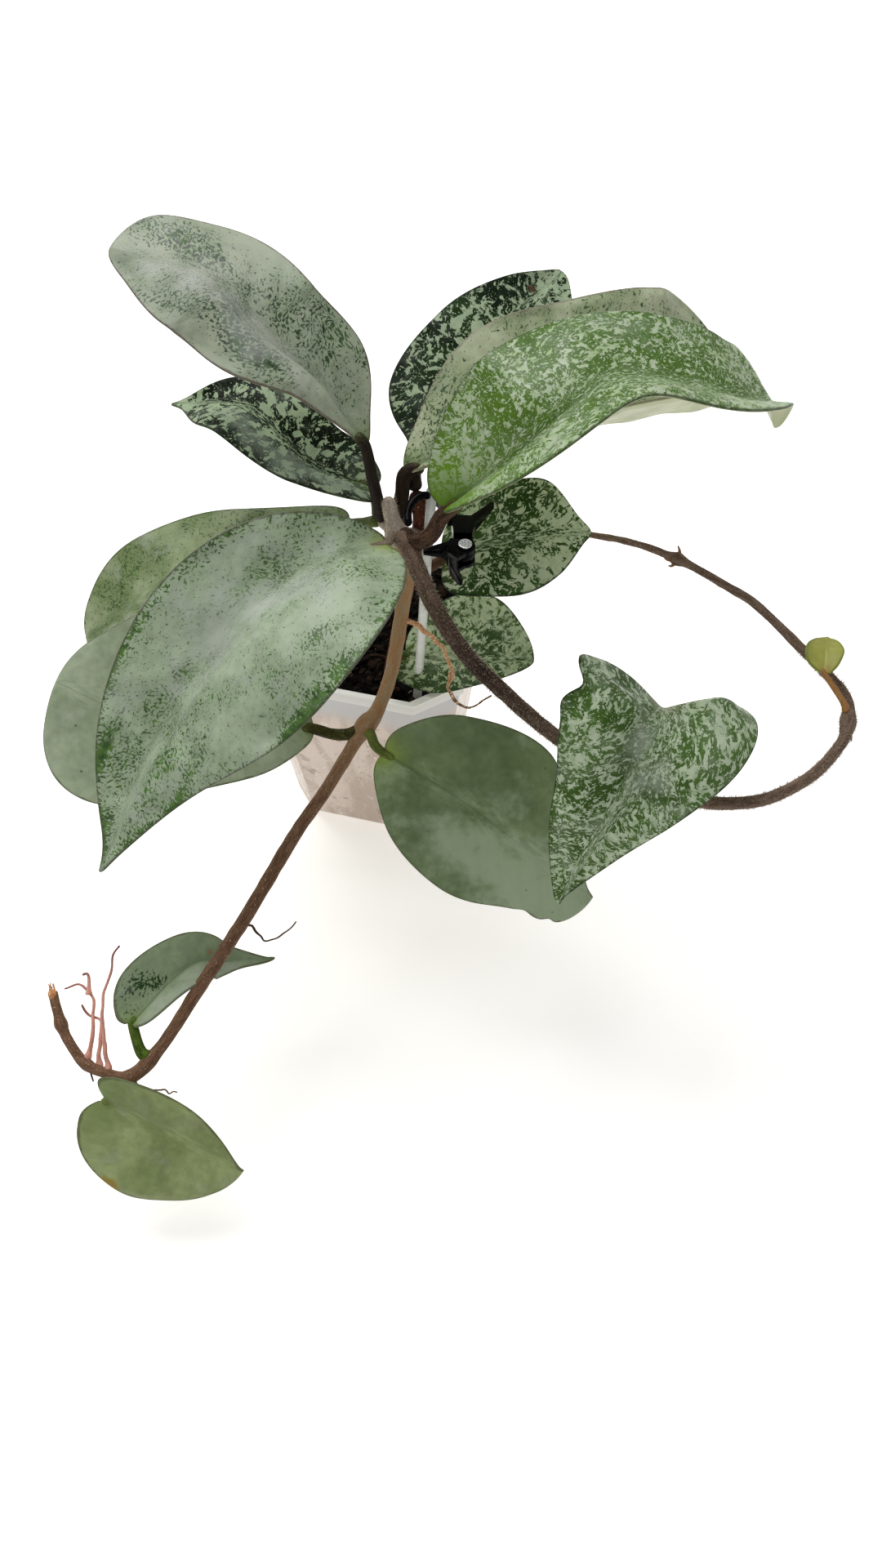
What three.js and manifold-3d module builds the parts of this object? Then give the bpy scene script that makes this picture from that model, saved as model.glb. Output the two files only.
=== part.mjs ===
// A young hoya in a square nursery pot: stems tied to a thin stake by a spring clip, leaves on stalks.
// Millimetres, +Z up. The origin is the middle of the pot's underside, and the pot's front faces -Y.
import * as THREE from 'three';
import { mergeVertices } from 'three/addons/utils/BufferGeometryUtils.js';
import Module from 'manifold-3d';

const wasm = await Module();
wasm.setup();

// Driving dimensions, pot and soil
const POT_RIM_WIDTH = 80;
const POT_BASE_WIDTH = 57;
const POT_HEIGHT = 90;
const RIM_BAND_HEIGHT = 5;
const RIM_BAND_STEP = 1.2;
const RIM_CHAMFER = 14;
const BASE_CHAMFER = 9;
const WALL = 1.3;
const FLOOR = 2;
const FOOT_HEIGHT = 3;
const FOOT_SIZE = 7;
const FOOT_INSET = 9;
const PAD_RADIUS = 6;
const DRAIN_RADIUS = 3;
const DRAIN_SPACING = 15;
const SOIL_HEIGHT = 82;
const SOIL_LUMP = 1.1;
const GAP = 0.3;

// Driving dimensions, stake, stems and clip
const STAKE_RADIUS = 1.5;
const STAKE_FOOT = [22.5, -27, 40];
const STAKE_TOP = [31, -32.5, 175];
const STALK_RADIUS = 1.7;
const ROOT_RADIUS = 0.6;
const CLIP_PIVOT = [43.1, -42.9];
const CLIP_BOTTOM = 159.6;
const CLIP_TOP = 165.2;
const CLIP_DISC = 2.9;
const LOWER_DISC_TOP = 160.7;
const BACK_DISC = [162.2, 163.6];
const UPPER_DISC_FOOT = 163.9;
const CLAW = [162, 164.6];
const PIN_RADIUS = 0.9;
const PIN_HOLE = 1.15;
const PIN_HEAD = 1.95;
const PIN_HEAD_HEIGHT = 0.7;
const SPRING_RADIUS = 1.9;
const SPRING_WIRE = 0.25;
const SPRING_FOOT = 161.05;
const SPRING_PITCH = 0.6;
const SPRING_TURNS = 1.25;
const SPRING_LEG = 0.9;

// Driving dimensions, leaves
const BLADE_EDGE = 0.8;
const BLADE_MIDDLE = 1.7;
const BLADE_ROWS = 14;
const BLADE_COLUMNS = 8;
const LOBE_FADE = 4;
const SIDE_WAVE_SHIFT = 0.37;

const vec = (p) => new THREE.Vector3(...p);
const radians = THREE.MathUtils.degToRad;
const mix = THREE.MathUtils.lerp;

// A closed geometry from rows of points, triangles given by three indices each
function closedGeometry(points, triangles) {
  const geometry = new THREE.BufferGeometry();
  geometry.setAttribute('position', new THREE.Float32BufferAttribute(points.flat(), 3));
  geometry.setIndex(triangles.flat());
  return geometry;
}

// three.js geometry to a solid that can be joined and cut
function solidOf(geometry) {
  const bare = geometry.clone();
  for (const name of Object.keys(bare.attributes)) {
    if (name !== 'position') bare.deleteAttribute(name);
  }
  const merged = mergeVertices(bare, 1e-4);
  return new wasm.Manifold(new wasm.Mesh({
    numProp: 3,
    vertProperties: new Float32Array(merged.attributes.position.array),
    triVerts: new Uint32Array(merged.index.array),
  }));
}

// The solid back as three.js geometry
function geometryOf(solid) {
  const mesh = solid.getMesh();
  const geometry = new THREE.BufferGeometry();
  geometry.setAttribute('position', new THREE.BufferAttribute(new Float32Array(mesh.vertProperties), 3));
  geometry.setIndex(new THREE.BufferAttribute(new Uint32Array(mesh.triVerts), 1));
  return geometry;
}

// A closed tube along a smooth curve through the points; its radius changes from start to end
// and may swell at nodes given as [share of the length, extra radius, half length in mm]. Grown, it
// is that much thicker and longer, to cut room for itself in a neighbour.
function tube(points, radii, sides, step, swellings = [], grow = 0) {
  const curve = new THREE.CatmullRomCurve3(points.map(vec), false, 'catmullrom', 0.5);
  curve.arcLengthDivisions = 400;
  const length = curve.getLength();
  const rings = Math.max(2, Math.round(length / step));
  const frames = curve.computeFrenetFrames(rings, false);
  const vertices = [];
  for (let i = 0; i <= rings; i += 1) {
    const u = i / rings;
    const past = i === 0 ? -grow : i === rings ? grow : 0;
    const centre = curve.getPointAt(u).addScaledVector(curve.getTangentAt(u), past);
    let radius = mix(radii[0], radii[1], u) + grow;
    for (const [place, extra, reach] of swellings) {
      const off = ((u - place) * length) / reach;
      radius += extra * Math.exp(-off * off);
    }
    for (let k = 0; k < sides; k += 1) {
      const turn = (2 * Math.PI * k) / sides;
      const point = centre.clone()
        .addScaledVector(frames.normals[i], radius * Math.cos(turn))
        .addScaledVector(frames.binormals[i], radius * Math.sin(turn));
      vertices.push(point.toArray());
    }
  }
  return closedGeometry(vertices, stackedRings(rings, sides));
}

// Triangles that join rings 0 to count, each of the same number of corners, with flat ends
function stackedRings(count, sides) {
  const triangles = [];
  for (let i = 0; i < count; i += 1) {
    for (let k = 0; k < sides; k += 1) {
      const a = i * sides + k;
      const b = i * sides + ((k + 1) % sides);
      triangles.push([a, b, b + sides], [a, b + sides, a + sides]);
    }
  }
  const last = count * sides;
  for (let k = 1; k < sides - 1; k += 1) {
    triangles.push([0, k + 1, k], [last, last + k, last + k + 1]);
  }
  return triangles;
}

// Corners of a square with cut corners, half the width and the cut given, at one height
function cutSquare(half, cut, z) {
  const near = half - cut;
  return [
    [half, -near, z], [half, near, z], [near, half, z], [-near, half, z],
    [-half, near, z], [-half, -near, z], [-near, -half, z], [near, -half, z],
  ];
}

// A closed solid through cut squares given as [half width, cut, height] from the bottom up
function cutSquareLoft(levels) {
  const vertices = levels.flatMap(([half, cut, z]) => cutSquare(half, cut, z));
  return closedGeometry(vertices, stackedRings(levels.length - 1, 8));
}

// Half width and corner cut of the pot's outside at a height, on its straight taper
function potOutside(z) {
  const share = z / POT_HEIGHT;
  return [
    mix(POT_BASE_WIDTH, POT_RIM_WIDTH - 2 * RIM_BAND_STEP, share) / 2,
    mix(BASE_CHAMFER, RIM_CHAMFER, share),
  ];
}

// The moulded pot: tapered walls, a band at the rim, four feet and drain holes in the floor
function potGeometry() {
  const bandFoot = POT_HEIGHT - RIM_BAND_HEIGHT;
  const [lowHalf, lowCut] = potOutside(FOOT_HEIGHT);
  const [bandHalf, bandCut] = potOutside(bandFoot);
  const rimHalf = POT_RIM_WIDTH / 2;
  const outside = cutSquareLoft([
    [lowHalf, lowCut, FOOT_HEIGHT],
    [bandHalf, bandCut, bandFoot],
    [rimHalf - 0.2, RIM_CHAMFER, bandFoot + 0.4],
    [rimHalf, RIM_CHAMFER, POT_HEIGHT],
  ]);
  const floorTop = FOOT_HEIGHT + FLOOR;
  const inside = cutSquareLoft([
    [potOutside(floorTop)[0] - WALL, potOutside(floorTop)[1], floorTop],
    [bandHalf - WALL, bandCut, bandFoot],
    [rimHalf - WALL - 0.3, RIM_CHAMFER, POT_HEIGHT + 1],
  ]);
  let pot = solidOf(outside).subtract(solidOf(inside));
  for (const sx of [-1, 1]) {
    for (const sy of [-1, 1]) {
      const drain = new THREE.CylinderGeometry(DRAIN_RADIUS, DRAIN_RADIUS, 4 * FLOOR, 12);
      drain.rotateX(Math.PI / 2);
      drain.translate(sx * DRAIN_SPACING, sy * DRAIN_SPACING, FOOT_HEIGHT);
      pot = pot.subtract(solidOf(drain));
      const foot = new THREE.BoxGeometry(FOOT_SIZE, FOOT_SIZE, FOOT_HEIGHT + 1);
      foot.translate(sx * (lowHalf - FOOT_INSET), sy * (lowHalf - FOOT_INSET), (FOOT_HEIGHT + 1) / 2);
      pot = pot.add(solidOf(foot));
    }
  }
  const pad = new THREE.CylinderGeometry(PAD_RADIUS, PAD_RADIUS, FOOT_HEIGHT + 1, 16);
  pad.rotateX(Math.PI / 2);
  pad.translate(0, 0, (FOOT_HEIGHT + 1) / 2);
  return geometryOf(pot.add(solidOf(pad)));
}

// Height of the soil's lumpy top at a place, in mm above the pot's underside
function soilTop(x, y) {
  const lumps = Math.sin(0.31 * x + 0.9) * Math.cos(0.27 * y) + 0.6 * Math.sin(0.53 * x - 0.41 * y);
  return SOIL_HEIGHT + SOIL_LUMP * lumps;
}

// The potting mix: it fills the pot from the floor, with a lumpy top made of rings of points
function soilGeometry() {
  const floorTop = FOOT_HEIGHT + FLOOR + GAP;
  const inner = (z) => [potOutside(z)[0] - WALL - GAP, potOutside(z)[1]];
  const levels = [[...inner(floorTop), floorTop], [...inner(SOIL_HEIGHT - 2), SOIL_HEIGHT - 2]];
  const vertices = levels.flatMap(([half, cut, z]) => cutSquare(half, cut, z));
  const shrink = [0.97, 0.8, 0.6, 0.4, 0.2];
  for (const share of shrink) {
    const [half, cut] = inner(SOIL_HEIGHT);
    for (const [x, y] of cutSquare(half * share, cut * share, 0)) {
      vertices.push([x, y, soilTop(x, y)]);
    }
  }
  return closedGeometry(vertices, stackedRings(levels.length + shrink.length - 1, 8));
}

// Half width of a blade at a share of its length: a smooth curve through the widths given. They are
// evenly spaced in the angle that runs from 0 at the base to half a turn at the tip, where the
// width is zero, so a round leaf is a half wave and a pointed one has a small last width.
function bladeHalfWidth(u, widths) {
  const all = [0, ...widths, 0];
  const place = (Math.acos(1 - 2 * u) / Math.PI) * (all.length - 1);
  const i = Math.min(Math.floor(place), all.length - 2);
  const t = place - i;
  const before = i > 0 ? all[i - 1] : -all[1];
  const after = i < all.length - 2 ? all[i + 2] : -all[i];
  const rise = 0.5 * (all[i + 1] - before);
  const fall = 0.5 * (after - all[i]);
  const jump = all[i + 1] - all[i];
  return all[i] + t * (rise + t * (3 * jump - 2 * rise - fall + t * (rise + fall - 2 * jump)));
}

// A value that goes smoothly through evenly spaced values between the base and the tip
function stepped(values, u) {
  const place = u * (values.length - 1);
  const i = Math.min(Math.floor(place), values.length - 2);
  return mix(values[i], values[i + 1], THREE.MathUtils.smoothstep(place - i, 0, 1));
}

// One leaf blade as a closed thin solid. The rib runs through the points. The cross section leaves
// the rib at the fold angle on each side and turns through the curl angle on its way to the edge;
// lobes reach back past the base, and the edge waves up and down.
function bladeGeometry(leaf) {
  const rib = new THREE.CatmullRomCurve3(leaf.rib.map(vec), false, 'catmullrom', 0.5);
  rib.arcLengthDivisions = 400;
  const faces = leaf.face.map(vec);
  const top = [];
  const under = [];
  for (let i = 0; i <= BLADE_ROWS; i += 1) {
    const u = (1 - Math.cos((Math.PI * i) / BLADE_ROWS)) / 2;
    const centre = rib.getPointAt(u);
    const along = rib.getTangentAt(u);
    const across = along.clone().cross(faces[0].clone().lerp(faces[1], u)).normalize();
    const up = across.clone().cross(along);
    for (let j = 0; j <= BLADE_COLUMNS; j += 1) {
      const place = (2 * j) / BLADE_COLUMNS - 1;
      const side = place < 0 ? 0 : 1;
      const s = Math.abs(place);
      const width = bladeHalfWidth(u, leaf.half[side]);
      const half = Math.max(width, mix(1.5, 0.4, u));
      const outline = width / Math.max(...leaf.half[side]);
      const fold = radians(stepped(leaf.fold[side], u));
      const curl = radians(stepped(leaf.curl[side], u)) || 1e-6;
      const turn = fold + curl * s;
      const sideways = (half * (Math.sin(turn) - Math.sin(fold))) / curl;
      const upward = (half * (Math.cos(fold) - Math.cos(turn))) / curl;
      const back = leaf.lobe[side] * outline * (1 - u) ** LOBE_FADE * s * s;
      const sign = side ? 1 : -1;
      const [height, count] = leaf.wave;
      const phase = 2 * Math.PI * (count * u + SIDE_WAVE_SHIFT * sign);
      const wave = height * s * s * outline * Math.sin(phase);
      const normal = up.clone().multiplyScalar(Math.cos(turn))
        .addScaledVector(across, -sign * Math.sin(turn));
      const point = centre.clone()
        .addScaledVector(across, sign * sideways)
        .addScaledVector(up, upward)
        .addScaledVector(along, -back)
        .addScaledVector(normal, wave);
      const thick = mix(BLADE_MIDDLE, BLADE_EDGE, Math.min(1, 1.4 * s)) / 2;
      top.push(point.clone().addScaledVector(normal, thick).toArray());
      under.push(point.clone().addScaledVector(normal, -thick).toArray());
    }
  }
  return closedGeometry([...top, ...under], sheetTriangles(BLADE_ROWS, BLADE_COLUMNS));
}

// Triangles of a thin sheet: rows by columns of points on top, then the same number underneath
function sheetTriangles(rows, columns) {
  const width = columns + 1;
  const lower = (rows + 1) * width;
  const triangles = [];
  const wall = (a, b) => triangles.push([a, a + lower, b + lower], [a, b + lower, b]);
  for (let i = 0; i < rows; i += 1) {
    for (let j = 0; j < columns; j += 1) {
      const a = i * width + j;
      const [b, c, d] = [a + 1, a + width, a + width + 1];
      triangles.push([a, b, d], [a, d, c]);
      triangles.push([a + lower, d + lower, b + lower], [a + lower, c + lower, d + lower]);
    }
    wall(i * width + columns, (i + 1) * width + columns);
    wall((i + 1) * width, i * width);
  }
  for (let j = 0; j < columns; j += 1) {
    wall(j, j + 1);
    wall(rows * width + j + 1, rows * width + j);
  }
  return triangles;
}

// Stems: route points, radius at the start and end, swollen nodes as [share, extra radius, half
// length], side branches and the aerial roots that grow on them, each a route of its own
const STEMS = {
  main_stem: {
    colour: 0x6b5142,
    points: [
      [13, -27, 60], [14, -28, 84], [18, -29, 110], [22.5, -29, 135],
      [25.5, -29.2, 152], [26.5, -29.8, 163], [26, -31, 171],
    ],
    radii: [2.4, 1.9],
    swellings: [[0.97, 0.6, 3]],
    branches: [
      {
        points: [
          [25.8, -29.5, 155], [25, -35, 158.5], [23.5, -41, 163], [22, -41, 168], [19.5, -37.5, 173.5],
        ],
        radii: [2, 1.7], swellings: [[0.55, 0.9, 4]],
      },
      {
        points: [[23.5, -41, 164], [20.5, -38.5, 163.5], [16.5, -35.5, 163]],
        radii: [2, 1.9], swellings: [],
      },
    ],
    roots: [],
  },
  trailing_stem: {
    colour: 0x7a5c46,
    points: [
      [23.5, -43, 164], [24.5, -41.5, 158], [25.4, -40, 150], [24, -42.5, 135], [22.6, -50.5, 118],
      [19.4, -57.7, 106], [15, -62, 99], [7, -76, 85], [-0.5, -90, 75], [-9.5, -115.5, 62],
      [-17.5, -140.5, 54.5], [-22.5, -157.5, 50], [-28.6, -168.6, 48], [-37.8, -169.3, 48],
      [-44.8, -167.5, 48], [-51.3, -162.9, 50], [-55.3, -158.4, 53], [-60, -151.5, 57],
    ],
    radii: [2.3, 1.4],
    swellings: [[0.365, 1, 4.5], [0.79, 0.7, 4], [0.835, 0.5, 4], [0.955, 0.5, 2]],
    branches: [],
    roots: [
      [[-43.5, -166.8, 48], [-43.2, -160.1, 54], [-44.7, -153.4, 60], [-48.2, -150.6, 62],
        [-51.2, -149.9, 62], [-55, -151.5, 60]],
      [[-46.5, -152, 61], [-47.7, -147.5, 65], [-49, -148.1, 66]],
      [[-39.3, -168, 47], [-40.7, -160.3, 54], [-41.4, -157, 56], [-45.9, -155.9, 56], [-48.8, -154.3, 58]],
      [[-35.8, -168.5, 48], [-38.6, -161.1, 56], [-39.8, -157.1, 61], [-40.8, -152.2, 64.5],
        [-40.2, -147.7, 67], [-40.7, -142, 70], [-39.5, -139.1, 72]],
      [[-42.6, -167, 47.5], [-41.7, -170, 45], [-40.7, -171.6, 43]],
      [[-26, -162, 49], [-21.7, -166.5, 45], [-18.4, -168.1, 43], [-15.5, -167, 41]],
      [[-10.2, -116.9, 61], [-7.1, -115.9, 58], [-3.5, -117.5, 54], [0.5, -114.6, 54], [4.5, -108.3, 54]],
      [[25, -43.2, 133], [28.2, -43.3, 132], [33, -45, 130], [38.8, -48.2, 128], [42.3, -52.8, 124],
        [42.5, -56.7, 121], [45.6, -57.8, 116], [49.7, -54.3, 113], [54.5, -51.1, 116]],
    ],
  },
  runner_stem: {
    colour: 0x4a3630,
    points: [
      [24.5, -44, 165.5], [28, -47, 165], [37.5, -57, 155], [48.6, -64, 145], [62, -70, 138],
      [77, -74.5, 130], [92.5, -78.5, 125], [107, -81.3, 122], [122.5, -81, 122], [136, -78.3, 124],
      [147.5, -70.5, 128], [154.5, -60, 132], [155.5, -52.5, 135], [153, -46, 138], [142, -38, 142],
      [126, -27, 147], [116.5, -22, 148], [108.5, -18.5, 149], [100, -14.5, 149], [87, -8.5, 147],
      [74, -4.5, 144], [65, -2.3, 142],
    ],
    radii: [2.3, 0.9],
    swellings: [[0.375, 0.9, 4], [0.64, 0.7, 3.5], [0.9, 0.7, 2.5]],
    branches: [],
    roots: [[[155, -54.5, 135], [156.8, -56, 133], [157.8, -57, 130.5]]],
  },
};

// Leaves: rib and stalk points, the way the blade faces at base and tip, half widths from base to
// tip, fold and curl angles at base and tip, lobe reach and edge waves; pairs give left, then right
const LEAVES = {
  leaf_01: {
    stem: 'main_stem', colour: 0x9db39a,
    stalk: [[17, -36, 163.5], [17, -37, 168], [16, -39, 180], [14.5, -39, 190]],
    rib: [[14.5, -39, 190], [0.5, -34, 203.5], [-13.5, -32, 213], [-29.5, -25, 223], [-56.5, -24, 227.5]],
    face: [[0.1, -0.35, 0.9], [0.1, -0.35, 0.9]],
    half: [[2, 8, 16, 17, 7], [6, 17, 19, 17, 13]], lobe: [3, 1],
    fold: [[29, 1], [25, -2]], curl: [[-20, -12], [-20, -13]], wave: [1, 2],
  },
  leaf_02: {
    stem: 'main_stem', colour: 0x5f7a5f,
    stalk: [[16, -35, 163], [14.5, -32, 165.5], [12, -28.5, 168]],
    rib: [[12, -28.5, 168], [-8, -23.5, 168.5], [-31, -12.5, 177], [-56, -10, 172]],
    face: [[0, -0.2, 1], [0, -0.2, 1]],
    half: [[11, 13, 16, 15, 3], [6, 13, 13, 8, 2]], lobe: [18, 15],
    fold: [[46, 17], [33, 21]], curl: [[-26, -5], [-7, -9]], wave: [0.6, 2],
  },
  leaf_04: {
    stem: 'main_stem', colour: 0x9cb59c,
    stalk: [[22.5, -43, 165.5], [22, -49, 166.5]],
    rib: [[22, -49, 166.5], [9, -64, 170.5], [-8, -84, 162], [-23.5, -109, 140.5], [-36.5, -138, 112]],
    face: [[-0.1, -0.45, 0.9], [-0.25, -0.75, 0.6]],
    half: [[15, 34, 34, 15, 4], [7, 20, 24, 17, 3]], lobe: [18, 14],
    fold: [[32, 17], [20, 9]], curl: [[-30, -47], [15, 5]], wave: [1.2, 2.5],
  },
  leaf_05: {
    stem: 'main_stem', colour: 0x7d9a7a,
    stalk: [[16, -35, 162.5], [10, -31, 157], [4, -28, 153]],
    rib: [[4, -28, 153], [-23, -37, 143.5], [-50, -40.5, 129], [-87, -44.5, 99]],
    face: [[-0.1, -0.3, 0.95], [-0.4, -0.4, 0.8]],
    half: [[7, 13, 17, 18, 13], [9, 16, 20, 21, 11]], lobe: [8, 10],
    fold: [[-5, -5], [-6, 11]], curl: [[-10, -10], [-6, 17]], wave: [1, 2],
  },
  leaf_06: {
    stem: 'trailing_stem', colour: 0x93a893,
    stalk: [[14.5, -61.5, 99.5], [6, -64, 98], [0, -65, 100]],
    rib: [[0, -65, 100], [-18.5, -75.5, 109], [-43, -89, 119.5], [-68, -89.5, 129.5]],
    face: [[0, -0.42, 0.9], [0.1, -0.5, 0.85]],
    half: [[7, 16, 21, 28, 19], [8, 19, 29, 35, 18]], lobe: [12, 10],
    fold: [[-2, -6], [9, 7]], curl: [[-16, 1], [-19, -5]], wave: [1, 2],
  },
  leaf_07: {
    stem: 'main_stem', colour: 0x5e7d60,
    stalk: [[25.5, -30.5, 171], [24.5, -27, 174], [24, -22, 178]],
    rib: [[24, -22, 178], [31, -5.5, 184], [38, 21.5, 190.5], [49.5, 57, 192.5]],
    face: [[0.1, -0.5, 0.85], [0.2, -0.1, 0.95]],
    half: [[5, 19, 18, 11, 4], [10, 17, 20, 18, 7]], lobe: [21, 5],
    fold: [[12, 18], [15, -2]], curl: [[-28, 16], [-20, -22]], wave: [1, 2],
  },
  leaf_08: {
    stem: 'main_stem', colour: 0x8fa890,
    stalk: [[25.5, -31, 170], [21.5, -33, 169], [21.5, -33.5, 173], [23, -31, 177]],
    rib: [[23, -31, 177], [43.5, -23.5, 185], [74.5, -2.5, 183.5], [97.5, 19, 177.5], [110, 36.5, 174]],
    face: [[0.1, -0.4, 0.9], [0.2, -0.3, 0.9]],
    half: [[12, 30, 35, 36, 30], [10, 17, 19, 16, 9]], lobe: [2, 3],
    fold: [[17, 19], [50, 75]], curl: [[-5, 1], [10, 10]], wave: [0.8, 2],
  },
  leaf_09: {
    stem: 'main_stem', colour: 0x6d9a55,
    stalk: [[23.5, -42.5, 166], [29, -45.5, 167.5], [34.5, -47, 170], [38.5, -46.5, 180]],
    rib: [
      [38.5, -46.5, 180], [56, -49, 198.5], [65, -49, 210], [78.5, -33, 218],
      [106, -20, 206], [119.5, -2.5, 198],
    ],
    face: [[0, -0.6, 0.7], [0.4, -0.1, 0.9]],
    half: [[12, 26, 26, 23, 19], [6, 10, 14, 13, 8]], lobe: [16, 3],
    fold: [[36, -11, 9], [72, 57, 56]], curl: [[-17, -4], [-30, -28]], wave: [0.8, 2],
  },
  leaf_10: {
    stem: 'main_stem', colour: 0x678a63,
    stalk: [[24.2, -29.2, 141], [28.5, -29, 142], [33, -26, 144]],
    rib: [[33, -26, 144], [50, -20, 149], [74.5, -11, 150.5]],
    face: [[0.1, -0.35, 0.9], [0.2, -0.4, 0.9]],
    half: [[9, 16, 19, 17, 5], [10, 15, 18, 13, 4]], lobe: [3, 10],
    fold: [[10, 8], [8, 10]], curl: [[-15, 0], [-27, 2]], wave: [0.8, 2],
  },
  leaf_11: {
    stem: 'main_stem', colour: 0x67876a,
    stalk: [[16.5, -28.7, 100], [18, -26.5, 99], [19.5, -25, 98]],
    rib: [[19.5, -25, 99], [35, -26.5, 101], [62.5, -23, 104.5]],
    face: [[0.1, -0.75, 0.65], [0.2, -0.7, 0.7]],
    half: [[10, 18, 22, 20, 10], [9, 12, 9, 6, 3]], lobe: [4, 12],
    fold: [[8, 10], [4, 15]], curl: [[-15, -6], [-34, -2]], wave: [0.6, 2],
  },
  leaf_12: {
    stem: 'trailing_stem', colour: 0x7f9a80,
    stalk: [[16, -60.5, 100.5], [19.5, -64.5, 101], [21.5, -67.5, 99.5], [24, -67.5, 98]],
    rib: [[24, -67.5, 98], [51, -77.5, 95.5], [70, -81, 84.5], [96, -83.5, 66]],
    face: [[0.1, -0.6, 0.8], [0.15, -0.65, 0.75]],
    half: [[11, 23, 28, 16, 3], [10, 22, 26, 18, 13]], lobe: [16, 10],
    fold: [[2, 8], [19, 12]], curl: [[-19, -8], [-34, -10]], wave: [0.8, 3],
  },
  leaf_13: {
    stem: 'runner_stem', colour: 0x74967a,
    stalk: [[100, -80, 123.5], [104, -75, 134], [105, -70, 144]],
    rib: [[105, -70, 144], [107, -81, 146.5], [102, -89.5, 134.5], [94.5, -96, 115], [87, -104.5, 92]],
    face: [[-0.1, 0, 1], [-0.1, -1, 0.4]],
    half: [[29, 20, 13, 6, 1], [25, 29, 20, 13, 5]], lobe: [18, 17],
    fold: [[22, 16], [45, 6]], curl: [[-76, -31], [-7, -37]], wave: [1, 2],
  },
  leaf_14: {
    stem: 'trailing_stem', colour: 0x82a083,
    stalk: [[-27, -162, 49.5], [-29.5, -158.5, 53], [-32, -155, 55.5]],
    rib: [[-32, -156, 56], [-23.5, -131, 52], [-14.5, -123, 45], [-1.5, -116.5, 42]],
    face: [[0.1, -0.3, 0.9], [0.3, -0.3, 0.9]],
    half: [[6, 13, 11, 5, 1], [5, 7, 10, 4, 2]], lobe: [13, 5],
    fold: [[18, 24], [35, 36]], curl: [[-9, -15], [8, -2]], wave: [0.5, 2],
  },
  leaf_03: {
    stem: 'trailing_stem', colour: 0x849a78,
    stalk: [[-29, -168.5, 48], [-32, -172, 47], [-34.5, -176, 45]],
    rib: [[-34.5, -176, 45], [-14, -177.5, 38.5], [9, -181, 26.5]],
    face: [[0.1, -0.6, 0.8], [0.2, -0.6, 0.8]],
    half: [[5, 8, 7, 4, 1], [7, 21, 25, 20, 11]], lobe: [17, 26],
    fold: [[12, 0], [12, -5]], curl: [[-49, -20], [-27, -6]], wave: [0.5, 2],
  },
  new_leaf: {
    stem: 'runner_stem', colour: 0x93b04c, stalkRadius: 0.8,
    stalk: [[154.5, -52, 136.5], [153, -50.5, 139], [146, -48, 146]],
    rib: [[146, -48, 146], [145.5, -42.5, 148], [145.5, -35.5, 147.5]],
    face: [[0, -0.4, 0.9], [0.1, -0.5, 0.85]],
    half: [[3, 6, 6, 4, 1], [1, 3, 5, 4, 4]], lobe: [1, 2],
    fold: [[10, 0], [13, 1]], curl: [[30, 20], [30, 22]], wave: [0, 1],
  },
};

// A bar on edge along a smooth line in plan; its width, foot and top go evenly from start to end
function bar(points, widths, feet, tops) {
  const curve = new THREE.CatmullRomCurve3(points.map(([x, y]) => new THREE.Vector3(x, y, 0)));
  const count = 2 * points.length;
  const vertices = [];
  for (let i = 0; i <= count; i += 1) {
    const u = i / count;
    const { x, y } = curve.getPoint(u);
    const ahead = curve.getTangent(u);
    const half = mix(...widths, u) / 2;
    const [foot, top] = [mix(...feet, u), mix(...tops, u)];
    const left = [x - half * ahead.y, y + half * ahead.x];
    const right = [x + half * ahead.y, y - half * ahead.x];
    vertices.push([...left, foot], [...left, top], [...right, top], [...right, foot]);
  }
  return solidOf(closedGeometry(vertices, stackedRings(count, 4)));
}

// An upright cylinder round the clip's pivot
function disc(radius, foot, top, sides = 20) {
  const cylinder = new THREE.CylinderGeometry(radius, radius, top - foot, sides);
  cylinder.rotateX(Math.PI / 2);
  cylinder.translate(...CLIP_PIVOT, (foot + top) / 2);
  return solidOf(cylinder);
}

const pinHole = () => disc(PIN_HOLE, CLIP_BOTTOM - 1, CLIP_TOP + 1, 16);

// The clip's front half: a disc below and one above, a jaw that thins to a wedge, and a lever
function clipFront() {
  const jaw = [[39.6, -43.1], [37.2, -43.3], [31.7, -45.2]];
  const lever = [[40.8, -46.4], [41.8, -50.5], [45, -55.2]];
  let half = bar(jaw, [5.6, 0.9], [CLIP_BOTTOM + 0.8, CLIP_BOTTOM + 2.2], [CLIP_TOP, CLIP_TOP - 1.9]);
  half = half.add(bar(lever, [3.2, 0.9], [CLIP_BOTTOM, CLIP_BOTTOM + 2.4], [CLIP_TOP, CLIP_TOP - 1.2]));
  for (const [foot, top] of [[CLIP_BOTTOM, LOWER_DISC_TOP], [UPPER_DISC_FOOT, CLIP_TOP]]) {
    half = half.add(disc(CLIP_DISC, foot, top));
    half = half.add(bar([CLIP_PIVOT, [38.4, -43.2]], [5.2, 5.2], [foot, foot], [top, top]));
    half = half.add(bar([CLIP_PIVOT, [41, -47.4]], [4.6, 3], [foot, foot], [top, top]));
  }
  return half.subtract(pinHole());
}

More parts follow.
